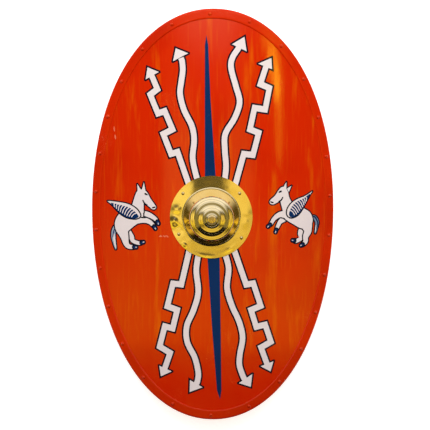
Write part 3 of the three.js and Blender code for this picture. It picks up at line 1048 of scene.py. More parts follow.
class SCUTUM_OT_board(bpy.types.Operator):
    """Makes the curved board with its painted artwork, its plain back and the hole for the hand"""

    bl_idname = "scutum.board"
    bl_label = "Board"

    def execute(self, context):
        board = context.scene.scutum_board
        spacing = board.grid / MM
        points, faces, paints, normals, uvs = [], [], [], [], []

        def back_level(u, v):
            return -BOARD_THICKNESS

        def add_side(flat, triangles, kinds, level, flip, chart):
            first = len(points)
            up = []
            for u, v in flat:
                u, v = u * MM, v * MM
                points.append(bend(u, v, level(u, v)))
                up.append(surface_normal(u, v, level) * (-1 if flip else 1))
            for triangle, kind in zip(triangles, kinds):
                order = triangle[::-1] if flip else triangle
                faces.append([first + k for k in order])
                paints.append(kind)
                for k in order:
                    normals.append(up[k])
                    uvs.append(map_place(*flat[k], chart))

        half_width, half_length = board.flat_width / 2 / MM, board.length / 2 / MM

        def map_place(u, v, chart):
            return (chart[0] + (u + half_width) * chart[2], chart[1] + (v + half_length) * chart[2])

        add_side(*painted_face(artwork(), spacing), front_level, False, FRONT_MAP)
        flat, triangles, kinds = painted_face([], spacing * 1.8)
        add_side(flat, triangles, [BACK] * len(kinds), back_level, True, BACK_MAP)
        for row, polygon in enumerate(board_outline()):
            first = len(points)
            for u, v in polygon:
                u, v = u * MM, v * MM
                points.append(bend(u, v, front_level(u, v)))
                points.append(bend(u, v, back_level(u, v)))
            made = wall_faces(polygon, first)
            if row == 1:
                made = [face[::-1] for face in made]
            for i, face in enumerate(made):
                a, b, c = (points[k] for k in face[:3])
                faces.append(list(face))
                paints.append(BACK)
                normals.extend([(b - a).cross(c - a).normalized()] * 4)
                along_wall = WALL_MAP[0] + WALL_MAP_LENGTH * i / len(made)
                for k in face:
                    side = (k - first) % 2
                    uvs.append((along_wall, WALL_MAP[1] + WALL_MAP_ROW * row + WALL_MAP_HEIGHT * side))
        mesh = bpy.data.meshes.new("board")
        mesh.from_pydata([tuple(point) for point in points], [], faces)
        mesh.update()
        layer = mesh.uv_layers.new(name="OFBake")
        layer.data.foreach_set("uv", [value for uv in uvs for value in uv])
        mesh.polygons.foreach_set("material_index", paints)
        for material in board_materials():
            mesh.materials.append(material)
        mesh.shade_smooth()
        mesh.normals_split_custom_set([tuple(normal) for normal in normals])
        made = bpy.data.objects.new("painted_board", mesh)
        context.scene.collection.objects.link(made)
        finish_piece(made, ["board"])
        return {"FINISHED"}


# Rim


def rim_section():
    """The rim's section as distances in from the shield's edge and levels."""
    rim = bpy.context.scene.scutum_rim
    front = FIT_GAP + rim.sheet
    back = -BOARD_THICKNESS - FIT_GAP - rim.sheet
    radius = (front - back) / 2
    level = (front + back) / 2
    section = []
    edge = 0.6 * MM
    fold_steps = 16
    inside_steps = 4
    shoulder_steps = 6
    leg_steps = 5
    for i in range(fold_steps + 1):
        turn = math.pi * i / fold_steps
        section.append((radius * (1 - math.sin(turn)), level + radius * math.cos(turn)))
    section.append((rim.leg - edge, back))
    section.append((rim.leg, back + edge))
    section.append((rim.leg, back + rim.sheet))
    inside = radius - rim.sheet
    for i in range(inside_steps, -1, -1):
        turn = math.pi * i / inside_steps
        section.append((radius - inside * math.sin(turn), level + inside * math.cos(turn)))
    for i in range(shoulder_steps + 1):
        turn = math.pi / 2 * i / shoulder_steps
        reach = rim.leg - rim.shoulder * (1 - math.cos(turn))
        section.append((reach, FIT_GAP + rim.sheet * math.sin(turn)))
    for i in range(1, leg_steps):
        share = i / leg_steps
        section.append((rim.leg - rim.shoulder + (radius - rim.leg + rim.shoulder) * share, front))
    return section


class SCUTUM_OT_rim(bpy.types.Operator):
    """Makes the red sheet rim that is folded round the board's edge"""

    bl_idname = "scutum.rim"
    bl_label = "Rim"

    def execute(self, context):
        rim = context.scene.scutum_rim
        section = rim_section()
        face_level = max(level for _, level in section)
        rings = []
        steps = 320
        for i in range(steps):
            turn = 2 * math.pi * i / steps
            ring = []
            for inset, level in section:
                flat = inset_point(turn, inset + EDGE_CLEARANCE)
                on_face = level == face_level and inset > rim.shoulder
                dent = abs(unevenness(flat.x, flat.y, 0.045, 21.3)) * rim.dents if on_face else 0
                point = bend(flat.x, flat.y, level - dent)
                point.z = max(point.z, rim.rest_flat)
                ring.append(point)
            rings.append(ring)
        made = new_mesh_object("painted_rim", *surface_through(rings, True))
        mark_sharp(made, 50)
        red = context.scene.scutum_board.red
        made.data.materials.append(
            paint_material(
                "rim_paint", scaled_colour(red, 0.98, 1.0, 1.0), scaled_colour(red, 1.15, 2.6, 1.5),
                scaled_colour(red, 0.7, 0.45, 0.6),
                streaks=0.25, clouds=0.5, gloss=0.17, scuffs=0.5, rubbed=(0.8, 0.2, 0.1), shine=0.3,
                tint=WARM_SHINE,
            )
        )
        finish_piece(made, ["rim"])
        return {"FINISHED"}


# Rivets


def rivet_tree(name, material):
    """Domed rivets on points that carry the way they face."""
    tree = bpy.data.node_groups.new(name, "GeometryNodeTree")
    tree.interface.new_socket("Geometry", in_out="INPUT", socket_type="NodeSocketGeometry")
    for socket in ("Head Radius", "Head Height", "Shank Radius", "Tail Radius", "Tail Height", "Back Level"):
        made = tree.interface.new_socket(socket, in_out="INPUT", socket_type="NodeSocketFloat")
        made.subtype = "DISTANCE"
    tree.interface.new_socket("Seed", in_out="INPUT", socket_type="NodeSocketInt")
    tree.interface.new_socket("Geometry", in_out="OUTPUT", socket_type="NodeSocketGeometry")
    nodes = Nodes(tree)
    entry = nodes.add("NodeGroupInput")
    leave = nodes.add("NodeGroupOutput")

    def dome(radius, height, turned):
        sphere = nodes.add("GeometryNodeMeshUVSphere", {"Segments": 20, "Rings": 14, "Radius": 1.0})
        place = nodes.add("GeometryNodeInputPosition")
        parts = nodes.add("ShaderNodeSeparateXYZ", {"Vector": place.outputs[0]})
        level = nodes.math("MAXIMUM", parts.outputs[2], 0.0)
        level = nodes.math("MULTIPLY", nodes.math("MULTIPLY", level, height), turned)
        new = nodes.add("ShaderNodeCombineXYZ")
        nodes.join(nodes.math("MULTIPLY", parts.outputs[0], radius), new.inputs[0])
        nodes.join(nodes.math("MULTIPLY", parts.outputs[1], radius), new.inputs[1])
        nodes.join(level, new.inputs[2])
        return nodes.add(
            "GeometryNodeSetPosition", {"Geometry": sphere.outputs[0], "Position": new.outputs[0]}
        ).outputs[0]

    head = dome(entry.outputs["Head Radius"], entry.outputs["Head Height"], 1.0)
    tail = dome(entry.outputs["Tail Radius"], entry.outputs["Tail Height"], -1.0)
    flipped = nodes.add("GeometryNodeFlipFaces", {"Mesh": tail})
    lower = nodes.add("ShaderNodeCombineXYZ", {"Z": entry.outputs["Back Level"]})
    tail = nodes.add("GeometryNodeTransform", {"Geometry": flipped, "Translation": lower})
    shank = nodes.add("GeometryNodeMeshCylinder", {"Vertices": 12, "Radius": entry.outputs["Shank Radius"]})
    length = nodes.math("MULTIPLY", entry.outputs["Back Level"], -1.0)
    nodes.join(length, shank.inputs["Depth"])
    half = nodes.math("MULTIPLY", entry.outputs["Back Level"], 0.5)
    middle = nodes.add("ShaderNodeCombineXYZ", {"Z": half})
    shank = nodes.add("GeometryNodeTransform", {"Geometry": shank, "Translation": middle})
    whole = nodes.add("GeometryNodeJoinGeometry")
    for part in (head, tail.outputs[0], shank.outputs[0]):
        nodes.join(part, whole.inputs[0])
    facing = nodes.add("GeometryNodeInputNamedAttribute", {"Name": "facing"}, data_type="FLOAT_VECTOR")
    turned = nodes.add("FunctionNodeAlignRotationToVector", {"Vector": facing.outputs[0]}, axis="Z")
    lean = nodes.add("FunctionNodeRandomValue", data_type="FLOAT_VECTOR")
    nodes.join((-0.06, -0.06, -3.0), lean.inputs[0])
    nodes.join((0.06, 0.06, 3.0), lean.inputs[1])
    nodes.join(entry.outputs["Seed"], lean.inputs["Seed"])
    size = nodes.add("FunctionNodeRandomValue", data_type="FLOAT")
    nodes.join(0.90, size.inputs[2])
    nodes.join(1.0, size.inputs[3])
    nodes.join(entry.outputs["Seed"], size.inputs["Seed"])
    placed = nodes.add(
        "GeometryNodeInstanceOnPoints", {"Points": entry.outputs[0], "Scale": size.outputs[1]}
    )
    nodes.join(whole.outputs[0], placed.inputs["Instance"])
    nodes.join(turned.outputs[0], placed.inputs["Rotation"])
    leaned = nodes.add("GeometryNodeRotateInstances", {"Instances": placed.outputs[0]})
    nodes.join(lean.outputs[0], leaned.inputs["Rotation"])
    real = nodes.add("GeometryNodeRealizeInstances", {"Geometry": leaned.outputs[0]})
    smooth = nodes.add("GeometryNodeSetShadeSmooth", {"Geometry": real.outputs[0]})
    done = nodes.add("GeometryNodeSetMaterial", {"Geometry": smooth.outputs[0], "Material": material})
    nodes.join(done.outputs[0], leave.inputs[0])
    return tree


def stitch_tree(name, material):
    """A rounded stitch on each point, leaning a little from its neighbours."""
    tree = bpy.data.node_groups.new(name, "GeometryNodeTree")
    tree.interface.new_socket("Geometry", in_out="INPUT", socket_type="NodeSocketGeometry")
    for socket in ("Length", "Width"):
        made = tree.interface.new_socket(socket, in_out="INPUT", socket_type="NodeSocketFloat")
        made.subtype = "DISTANCE"
    tree.interface.new_socket("Seed", in_out="INPUT", socket_type="NodeSocketInt")
    tree.interface.new_socket("Geometry", in_out="OUTPUT", socket_type="NodeSocketGeometry")
    nodes = Nodes(tree)
    entry = nodes.add("NodeGroupInput")
    leave = nodes.add("NodeGroupOutput")
    ball = nodes.add("GeometryNodeMeshUVSphere", {"Segments": 12, "Rings": 8, "Radius": 0.5})
    size = nodes.add("ShaderNodeCombineXYZ", {"X": entry.outputs["Length"], "Y": entry.outputs["Width"]})
    nodes.join(entry.outputs["Width"], size.inputs["Z"])
    stitch = nodes.add("GeometryNodeTransform", {"Geometry": ball.outputs[0], "Scale": size.outputs[0]})
    lean = nodes.add("FunctionNodeRandomValue", data_type="FLOAT_VECTOR")
    nodes.join((0, 0, 0.25), lean.inputs[0])
    nodes.join((0, 0, 0.45), lean.inputs[1])
    nodes.join(entry.outputs["Seed"], lean.inputs["Seed"])
    placed = nodes.add("GeometryNodeInstanceOnPoints", {"Points": entry.outputs[0], "Instance": stitch})
    nodes.join(lean.outputs[0], placed.inputs["Rotation"])
    smooth = nodes.add("GeometryNodeSetShadeSmooth", {"Geometry": placed.outputs[0]})
    real = nodes.add("GeometryNodeRealizeInstances", {"Geometry": smooth.outputs[0]})
    done = nodes.add("GeometryNodeSetMaterial", {"Geometry": real.outputs[0], "Material": material})
    nodes.join(done.outputs[0], leave.inputs[0])
    return tree


def made_plain(carrier, tree, values, name):
    """Runs a geometry tree on a carrier with its inputs set. Returns a plain mesh object."""
    modifier = carrier.modifiers.new(name, "NODES")
    modifier.node_group = tree
    sockets = {item.name: item.identifier for item in tree.interface.items_tree if item.in_out == "INPUT"}
    for key, value in values.items():
        modifier[sockets[key]] = value
    evaluated = carrier.evaluated_get(bpy.context.evaluated_depsgraph_get())
    mesh = bpy.data.meshes.new_from_object(evaluated)
    mesh.name = name
    carrier.modifiers.remove(modifier)
    bpy.data.objects.remove(carrier)
    made = bpy.data.objects.new(name, mesh)
    bpy.context.scene.collection.objects.link(made)
    return made


def rivet_carrier(nodes, lift):
    """A point for each CAD rivet, at the base of its head, with the way it faces."""
    places = []
    facings = []
    bend_radius = bpy.context.scene.scutum_board.bend_radius
    for name in nodes:
        low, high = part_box(name)
        middle = (low + high) / 2
        turn = math.asin(middle.x / bend_radius)
        flat = bend_radius * turn
        places.append(bend(flat, middle.y, lift))
        facings.append((math.sin(turn), 0.0, math.cos(turn)))
    mesh = bpy.data.meshes.new("rivet_places")
    mesh.from_pydata([tuple(place) for place in places], [], [])
    layer = mesh.attributes.new("facing", "FLOAT_VECTOR", "POINT")
    layer.data.foreach_set("vector", [value for facing in facings for value in facing])
    carrier = bpy.data.objects.new("rivet_places", mesh)
    bpy.context.scene.collection.objects.link(carrier)
    return carrier


class SCUTUM_OT_rim_rivets(bpy.types.Operator):
    """Makes the painted rivets along the rim"""

    bl_idname = "scutum.rim_rivets"
    bl_label = "Rim rivets"

    def execute(self, context):
        rim = context.scene.scutum_rim
        red = context.scene.scutum_board.red
        material = paint_material(
            "rivet_paint", scaled_colour(red, 0.95, 1.1, 1.0), scaled_colour(red, 1.2, 3.0, 1.5),
            scaled_colour(red, 0.7, 0.45, 0.6),
            streaks=0.4, clouds=0.4, gloss=0.15, scuffs=0.3, rubbed=(0.8, 0.2, 0.1), shine=0.5,
            tint=WARM_SHINE,
        )
        front = FIT_GAP + rim.sheet
        back = -BOARD_THICKNESS - FIT_GAP - rim.sheet
        values = {
            "Head Radius": rim.head_radius,
            "Head Height": rim.head_height + FIT_GAP,
            "Shank Radius": SHANK_RADIUS,
            "Tail Radius": rim.tail_radius,
            "Tail Height": rim.tail_height,
            "Back Level": back - front,
            "Seed": rim.seed,
        }
        tree = rivet_tree("Scutum rim rivets", material)
        made = made_plain(rivet_carrier(RIM_RIVETS, front), tree, values, "rim_rivets")
        finish_piece(made, RIM_RIVETS)
        return {"FINISHED"}


class SCUTUM_OT_boss_rivets(bpy.types.Operator):
    """Makes the four brass rivets through the boss's flange"""

    bl_idname = "scutum.boss_rivets"
    bl_label = "Boss rivets"

    def execute(self, context):
        boss = context.scene.scutum_boss
        front = FIT_GAP + boss.sheet
        low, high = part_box(BOSS_RIVETS[0])
        span = high.z - low.z - boss.head_height - boss.tail_height
        values = {
            "Head Radius": boss.head_radius,
            "Head Height": boss.head_height + FIT_GAP,
            "Shank Radius": SHANK_RADIUS,
            "Tail Radius": boss.tail_radius,
            "Tail Height": boss.tail_height,
            "Back Level": -span,
            "Seed": 3,
        }
        tree = rivet_tree("Scutum boss rivets", brass_material("brass_rivets", spun=0.0, dullness=0.30))
        made = made_plain(rivet_carrier(BOSS_RIVETS, front), tree, values, "boss_rivets")
        finish_piece(made, BOSS_RIVETS)
        return {"FINISHED"}


# Boss


# Radii in millimetres of dark rings painted on the dome: the first three make a painted shadow round the
# knob, the others are dark lines between the dome's steps
DARK_RINGS = (12.0, 13.8, 15.6, 23.2, 28.5, 34.2, 44.2, 49.5, 55.2)

# How far from its middle such a line starts to fade, and where it ends
DARK_RING_HALF = (0.3 * MM, 1.2 * MM)

# Where the knob's dull top ends, and where the spun dome does
KNOB_EDGE = (10 * MM, 12 * MM)
DOME_EDGE = (70 * MM, 74 * MM)


def brass_material(name, spun, dullness=0.0):
    """Polished brass with fine rings from the spinning lathe, tarnish and fingermarks, and dark rings painted
    on the dome: a painted shadow round the knob and dark lines between its steps.
    """
    boss = bpy.context.scene.scutum_boss
    material, nodes, shader, place = new_material(name)
    moved = nodes.add("ShaderNodeMapping")
    nodes.join(place, moved.inputs["Vector"])
    moved.inputs["Location"].default_value = (-boss.offset, 0, 0)
    parts = nodes.add("ShaderNodeSeparateXYZ", {"Vector": moved.outputs[0]})
    square = nodes.math("MULTIPLY", parts.outputs[0], parts.outputs[0])
    square = nodes.math("MULTIPLY_ADD", parts.outputs[1], parts.outputs[1], square)
    radius = nodes.math("SQRT", square)
    climb = nodes.math("MULTIPLY", parts.outputs[2], 0.6)
    ring_place = nodes.add("ShaderNodeCombineXYZ", {"X": radius, "Y": climb})
    rings = nodes.noise(ring_place.outputs[0], 900.0, 3.0, 0.7)
    dome = nodes.inverse(nodes.ramp(radius, *DOME_EDGE))
    rings = nodes.math("MULTIPLY", rings, nodes.math("MULTIPLY_ADD", dome, 0.8, 0.2))
    clouds = nodes.noise(place, 22.0, 4.0, 0.6, 0.4)
    spots = nodes.ramp(nodes.noise(place, 190.0, 3.0, 0.6), 0.66, 0.8)
    brass = boss.brass
    warm = opaque(scaled_colour(brass, 0.98, 0.94, 0.82))
    olive = opaque(scaled_colour(brass, 0.86, 0.86, 0.62))
    spotted = opaque(scaled_colour(brass, 0.5, 0.4, 0.3))
    ring_shaded = opaque(scaled_colour(brass, 0.40, 0.40, 0.46))
    tarnished = opaque(scaled_colour(brass, 0.72, 0.52, 0.24))
    colour = nodes.mix(nodes.ramp(clouds, 0.42, 0.68), opaque(brass), warm)
    colour = nodes.mix(nodes.math("MULTIPLY", nodes.ramp(clouds, 0.60, 0.8), 0.4), colour, olive)
    colour = nodes.mix(nodes.math("MULTIPLY", spots, 0.5), colour, spotted)
    # Painted shade: a dark band round the knob, and dark lines between the dome's steps
    dark_rings = 0.0
    for dark_ring in DARK_RINGS:
        away = nodes.math("ABSOLUTE", nodes.math("SUBTRACT", radius, dark_ring * MM))
        line = nodes.inverse(nodes.ramp(away, *DARK_RING_HALF))
        dark_rings = nodes.math("MAXIMUM", dark_rings, line)
    dark_rings = nodes.math("MULTIPLY", dark_rings, 0.6 * spun)
    colour = nodes.mix(dark_rings, colour, ring_shaded)
    knob = nodes.inverse(nodes.ramp(radius, *KNOB_EDGE))
    knob = nodes.math("MULTIPLY", knob, spun)
    pits = nodes.ramp(nodes.noise(place, 420.0, 4.0, 0.75), 0.46, 0.66)
    dull = nodes.math("MULTIPLY_ADD", pits, 0.5, 0.25)
    dull = nodes.math("MAXIMUM", nodes.math("MULTIPLY", knob, dull), dullness)
    colour = nodes.mix(dull, colour, tarnished)
    nodes.join(colour, shader.inputs["Base Color"])
    rough = nodes.math("MULTIPLY_ADD", clouds, 0.08, 0.06)
    rough = nodes.math("MULTIPLY_ADD", dull, 0.35, rough)
    rough = nodes.math("MULTIPLY_ADD", spots, 0.12, rough)
    nodes.join(rough, shader.inputs["Roughness"])
    shader.inputs["Metallic"].default_value = 1.0
    add_bump(nodes, shader, rings, 0.30 * spun, 0.0002)
    return material


# The dome's outside from its top to its foot, as millimetres from the middle and above the board,
# drawn for a dome of the radius and height named below it
DOME_PROFILE = [(0, 74), (4, 73.95), (8, 73.8), (10.2, 73.5), (11.4, 72.9), (12.3, 72.0), (13.2, 71.6)]
DOME_PROFILE += [(14.4, 71.4), (15.4, 71.0), (16.6, 70.1), (19, 68.0), (21.4, 65.9), (22.4, 65.2)]
DOME_PROFILE += [(23.6, 64.8), (26, 64.5), (30, 64.0), (33.4, 63.5), (35, 63.0), (36.4, 62.0), (39, 59.8)]
DOME_PROFILE += [(42, 57.3), (43.4, 56.4), (45, 56.0), (48, 55.6), (52, 55.1), (54.6, 54.6), (55.9, 53.8)]
DOME_PROFILE += [(56.8, 52.2), (57.7, 49.7), (59, 45.6), (61.6, 38.0), (64.4, 29.6), (67.2, 21.1), (70, 12.4)]
DOME_PROFILE += [(71.4, 8.0), (72.2, 5.6), (73.4, 3.2), (75, 2.0)]
DRAWN_RADIUS = 0.072
DRAWN_HEIGHT = 0.074

# Where the dome's steep wall starts, where the flange does, and where the flange's crinkles may start
WALL_START = 0.0576
FLANGE_START = 0.075
CRINKLE_START = 0.077
CRINKLE_RISE = 0.006


def boss_outside():
    """The boss's outside from its top to its edge, as radii and heights."""
    boss = bpy.context.scene.scutum_boss
    across = boss.dome_radius / DRAWN_RADIUS * MM
    up = boss.height / DRAWN_HEIGHT * MM
    outside = [(point[0] * across, point[1] * up) for point in smooth_line(DOME_PROFILE, 3)[:-1]]
    flange_top = FIT_GAP + boss.sheet
    flange_steps = 16
    for i in range(flange_steps + 1):
        radius = FLANGE_START + (boss.flange_radius - FLANGE_START) * i / flange_steps
        outside.append((radius, flange_top))
    return outside


# Bumps hammered into the flange, as angle and radius, spread in degrees, reach in millimetres and height
CRINKLES = [(168, 93, 9, 14, 0.7), (186, 97, 8, 10, 1.0), (201, 92, 7, 13, -0.8), (226, 100, 4, 5, 0.45)]
CRINKLES += [(6, 93, 7, 14, 0.26), (350, 90, 10, 9, 0.22), (300, 96, 14, 6, 0.14), (262, 101, 16, 5, 0.12)]


def flange_crinkle(angle, radius):
    """Height of the hammered crinkles at a place on the flange."""
    boss = bpy.context.scene.scutum_boss
    height = 0.0
    for middle, at, spread, reach, depth in CRINKLES:
        turn = (math.degrees(angle) - middle + 180) % 360 - 180
        away = (turn / spread) ** 2 + ((radius / MM - at) / reach) ** 2
        height += depth * math.exp(-away * 1.6)
    place = Vector((math.cos(angle), math.sin(angle), 0)) * radius
    height += 0.06 * noise.noise(place * 40) + 0.02 * noise.noise(place * 120)
    flat = min(max((radius - CRINKLE_START) / CRINKLE_RISE, 0), 1)
    return height * flat * boss.crinkle


class SCUTUM_OT_boss(bpy.types.Operator):
    """Makes the spun brass boss with its rings, its knob and its crinkled flange"""

    bl_idname = "scutum.boss"
    bl_label = "Boss"

    def execute(self, context):
        boss = context.scene.scutum_boss
        outside = boss_outside()
        inside = []
        for i, (radius, height) in enumerate(outside):
            before = outside[max(i - 1, 0)]
            after = outside[min(i + 1, len(outside) - 1)]
            along = Vector((after[0] - before[0], after[1] - before[1])).normalized()
            inner = radius if i == len(outside) - 1 else max(radius + along.y * boss.sheet, 0.0)
            inside.append((inner, max(height - along.x * boss.sheet, FIT_GAP)))
        inside[0] = (0.0, outside[0][1] - boss.sheet)
        profile = outside + inside[::-1]
        points = []
        faces = []
        rows = []
        for radius, height in profile:
            if radius < 0.001 * MM:
                rows.append([len(points)])
                points.append(Vector((boss.offset, 0, CROWN_HEIGHT + height)))
                continue
            row = []
            for k in range(boss.sides):
                angle = 2 * math.pi * k / boss.sides
                x = radius * math.cos(angle)
                y = radius * math.sin(angle)
                share = (radius - WALL_START) / (boss.dome_radius - boss.sheet - WALL_START)
                share = min(max(share, 0), 1)
                follows = share * share * (3 - 2 * share)
                lift = max(flange_crinkle(angle, radius), -0.25 * boss.crinkle)
                level = CROWN_HEIGHT + height + lift - follows * drop(x + boss.offset)
                row.append(len(points))
                points.append(Vector((x + boss.offset, y, level)))
            rows.append(row)
        for above, below in zip(rows, rows[1:]):
            for k in range(boss.sides):
                after = (k + 1) % boss.sides
                if len(above) == 1:
                    faces.append((above[0], below[k], below[after]))
                elif len(below) == 1:
                    faces.append((above[k], below[0], above[after]))
                else:
                    faces.append((above[k], below[k], below[after], above[after]))
        made = new_mesh_object("brass_boss", points, faces)
        mark_sharp(made, 60)
        made.data.materials.append(brass_material("polished_brass", spun=1.0))
        finish_piece(made, ["boss"])
        return {"FINISHED"}


# Grip


# Half the slot in the sleeve that the bar runs through
SLOT_HALF_WIDTH = 11.3 * MM
SLOT_HALF_HEIGHT = 2.3 * MM

# Steps round the sleeve and along it
SLEEVE_AROUND = 64
SLEEVE_STEPS = 40

# The sleeve's rounded ends, as distance in from the end and share of the outside
SLEEVE_END = [(0.0, 0.0), (0.0, 0.75), (0.6 * MM, 0.93), (1.6 * MM, 0.985)]


def steel_material():
    """Blackened steel with rubbed edges."""
    grip = bpy.context.scene.scutum_grip
    material, nodes, shader, place = new_material("blackened_steel")
    clouds = nodes.noise(place, 45.0, 5.0, 0.65)
    worn = opaque(scaled_colour(grip.steel, 2.2, 2.0, 1.8))
    colour = nodes.mix(nodes.ramp(clouds, 0.4, 0.7), opaque(grip.steel), worn)
    marks = group_node(nodes, "Scutum scuffs")
    values = {"Vector": place, "Color": colour, "Rubbed": (0.35, 0.33, 0.30, 1.0)}
    values.update({"Roughness": nodes.math("MULTIPLY_ADD", clouds, 0.25, 0.32), "Amount": 0.7})
    for key, value in values.items():
        nodes.join(value, marks.inputs[key])
    nodes.join(marks.outputs["Color"], shader.inputs["Base Color"])
    nodes.join(marks.outputs["Roughness"], shader.inputs["Roughness"])
    shader.inputs["Metallic"].default_value = 0.6
    add_bump(nodes, shader, nodes.noise(place, 300.0, 4.0, 0.6), 0.3, 0.0003)
    return material


def leather_material(name, darker):
    """Dark leather with pores, creases and rubbed high places."""
    grip = bpy.context.scene.scutum_grip
    material, nodes, shader, place = new_material(name)
    pores = nodes.add("ShaderNodeTexVoronoi", {"Vector": place, "Scale": 620.0}, feature="DISTANCE_TO_EDGE")
    grain = nodes.ramp(pores.outputs["Distance"], 0.0, 0.25)
    clouds = nodes.noise(place, 60.0, 4.0, 0.6)
    leather = scaled_colour(grip.leather, darker, darker, darker)
    worn = opaque(scaled_colour(leather, 1.8, 1.7, 1.5))
    colour = nodes.mix(nodes.ramp(clouds, 0.4, 0.7), opaque(leather), worn)
    dark = opaque(scaled_colour(leather, 0.4, 0.4, 0.4))
    colour = nodes.mix(nodes.math("MULTIPLY", nodes.inverse(grain), 0.6), colour, dark)
    nodes.join(colour, shader.inputs["Base Color"])
    nodes.join(nodes.math("MULTIPLY_ADD", clouds, 0.25, 0.4), shader.inputs["Roughness"])
    add_bump(nodes, shader, grain, 0.5, 0.0004)
    return material


class SCUTUM_OT_grip(bpy.types.Operator):
    """Makes the steel grip bar with its end plates, and the sewn leather sleeve"""

    bl_idname = "scutum.grip"
    bl_label = "Grip"

    def execute(self, context):
        grip = context.scene.scutum_grip
        self.make_bar(context, grip)
        self.make_sleeve(context, grip)
        return {"FINISHED"}

    def make_bar(self, context, grip):
        shape = bmesh.new()
        shape.from_mesh(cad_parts["grip_bar"].data)
        bmesh.ops.remove_doubles(shape, verts=shape.verts, dist=1e-6)
        bmesh.ops.dissolve_limit(
            shape, angle_limit=math.radians(1), verts=shape.verts, edges=shape.edges
        )
        mesh = bpy.data.meshes.new("grip_bar_steel")
        shape.to_mesh(mesh)
        shape.free()
        made = bpy.data.objects.new("grip_bar_steel", mesh)
        context.scene.collection.objects.link(made)
        bevel = made.modifiers.new("Bevel", "BEVEL")
        bevel.width = grip.bevel
        bevel.segments = 2
        bevel.limit_method = "ANGLE"
        bevel.angle_limit = math.radians(40)
        evaluated = made.evaluated_get(context.evaluated_depsgraph_get())
        finished = bpy.data.meshes.new_from_object(evaluated)
        made.modifiers.clear()
        made.data = finished
        finished.shade_smooth()
        mark_sharp(made, 35)
        finished.materials.clear()
        finished.materials.append(steel_material())
        finish_piece(made, ["grip_bar"])

    def make_sleeve(self, context, grip):
        low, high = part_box("grip_wrap")
        middle = (low + high) / 2
        half = (high - low) / 2
        rings = []

        def ring(x, share, swell):
            """One ring: share 0 is the slot round the bar and 1 is the sleeve's outside."""
            made = []
            for k in range(SLEEVE_AROUND):
                angle = 2 * math.pi * k / SLEEVE_AROUND
                c, s = math.cos(angle), math.sin(angle)
                crease = 0.985 + 0.015 * noise.noise(Vector((x * 90, c * 2.5, s * 2.5)))
                outer = (half.y * c * swell * crease, half.z * s * swell * crease)
                reach = min(SLOT_HALF_WIDTH / max(abs(c), 1e-6), SLOT_HALF_HEIGHT / max(abs(s), 1e-6))
                inner = (reach * c, reach * s)
                y = inner[0] + (outer[0] - inner[0]) * share
                z = inner[1] + (outer[1] - inner[1]) * share
                made.append(Vector((middle.x + x, middle.y + y, middle.z + z)))
            return made

        def swelling(x):
            return 0.93 + 0.07 * max(math.cos(x / half.x * math.pi / 2), 0) ** 0.8

        end_swell = swelling(half.x)
        rings += [ring(-half.x + inset, share, end_swell) for inset, share in SLEEVE_END]
        for i in range(2, SLEEVE_STEPS - 1):
            x = half.x * (2 * i / SLEEVE_STEPS - 1)
            rings.append(ring(x, 1.0, swelling(x)))
        rings += [ring(half.x - inset, share, end_swell) for inset, share in reversed(SLEEVE_END)]
        points, faces = surface_through(rings, True)
        made = new_mesh_object("grip_sleeve", points, faces)
        mark_sharp(made, 50)
        made.data.materials.append(leather_material("brown_leather", 1.0))
        self.point_outwards(made)
        places = [half.x * (2 * (i + 0.5) / grip.stitch_count - 1) * 0.94 for i in range(grip.stitch_count)]
        seam = []
        for x in places:
            under = ring(x, 1.0, swelling(x))[SLEEVE_AROUND * 3 // 4]
            seam.append(under + Vector((0, 0, grip.stitch_width * 0.2)))
        self.add_stitches(context, made, grip, seam)
        finish_piece(made, ["grip_wrap"])

    @staticmethod
    def add_stitches(context, sleeve, grip, seam):
        """Sews the sleeve along its seam, and makes the thread part of it."""
        mesh = bpy.data.meshes.new("stitch_places")
        mesh.from_pydata([tuple(place) for place in seam], [], [])
        carrier = bpy.data.objects.new("stitch_places", mesh)
        context.scene.collection.objects.link(carrier)
        tree = stitch_tree("Scutum stitches", leather_material("waxed_thread", 2.2))
        values = {"Length": grip.stitch_length, "Width": grip.stitch_width, "Seed": 5}
        thread = made_plain(carrier, tree, values, "stitches")
        with context.temp_override(active_object=sleeve, selected_editable_objects=[sleeve, thread]):
            bpy.ops.object.join()

    @staticmethod
    def point_outwards(made):
        """Turns every face outwards."""
        shape = bmesh.new()
        shape.from_mesh(made.data)
        bmesh.ops.recalc_face_normals(shape, faces=shape.faces)
        shape.to_mesh(made.data)
        shape.free()


# Stage


def floor_material():
    """A plain pale studio floor."""
    material, nodes, shader, place = new_material("pale_floor")
    soft = nodes.noise(place, 3.0, 3.0, 0.5)
    nodes.join(nodes.mix(soft, (0.80, 0.80, 0.80, 1.0), (0.83, 0.83, 0.83, 1.0)), shader.inputs["Base Color"])
    shader.inputs["Roughness"].default_value = 0.85
    shader.inputs["Specular IOR Level"].default_value = 0.2
    shader.inputs["Emission Color"].default_value = (1.0, 1.0, 1.0, 1.0)
    shader.inputs["Emission Strength"].default_value = 0.72
    return material


def add_panel(name, middle, aim, size, power, colour):
    """A rectangular soft light that the camera itself doesn't see."""
    data = bpy.data.lights.new(name, "AREA")
    data.shape = "RECTANGLE"
    data.size, data.size_y = size
    data.energy = power
    data.color = colour
    light = bpy.data.objects.new(name, data)
    light.location = middle
    light.rotation_mode = "QUATERNION"
    light.rotation_quaternion = (Vector(aim) - Vector(middle)).to_track_quat("-Z", "Y")
    light.visible_camera = False
    bpy.context.scene.collection.objects.link(light)
    return light


# Panels of the narrow yellow light at the right, as east, north, length, width and power
STREAK = [
    (1.07, 0.648, 0.14, 0.24, 0.32),
    (1.21, 0.516, 0.14, 0.17, 0.55),
    (1.31, 0.405, 0.12, 0.09, 0.50),
    (1.37, 0.205, 0.30, 0.09, 0.26),
]
STREAK_HEIGHT = 2.1
STREAK_COLOUR = (1.0, 0.86, 0.06)

# Where the streak's panels aim, with north as a share of their own
STREAK_AIM = (0.16, 0.5, 0.1)

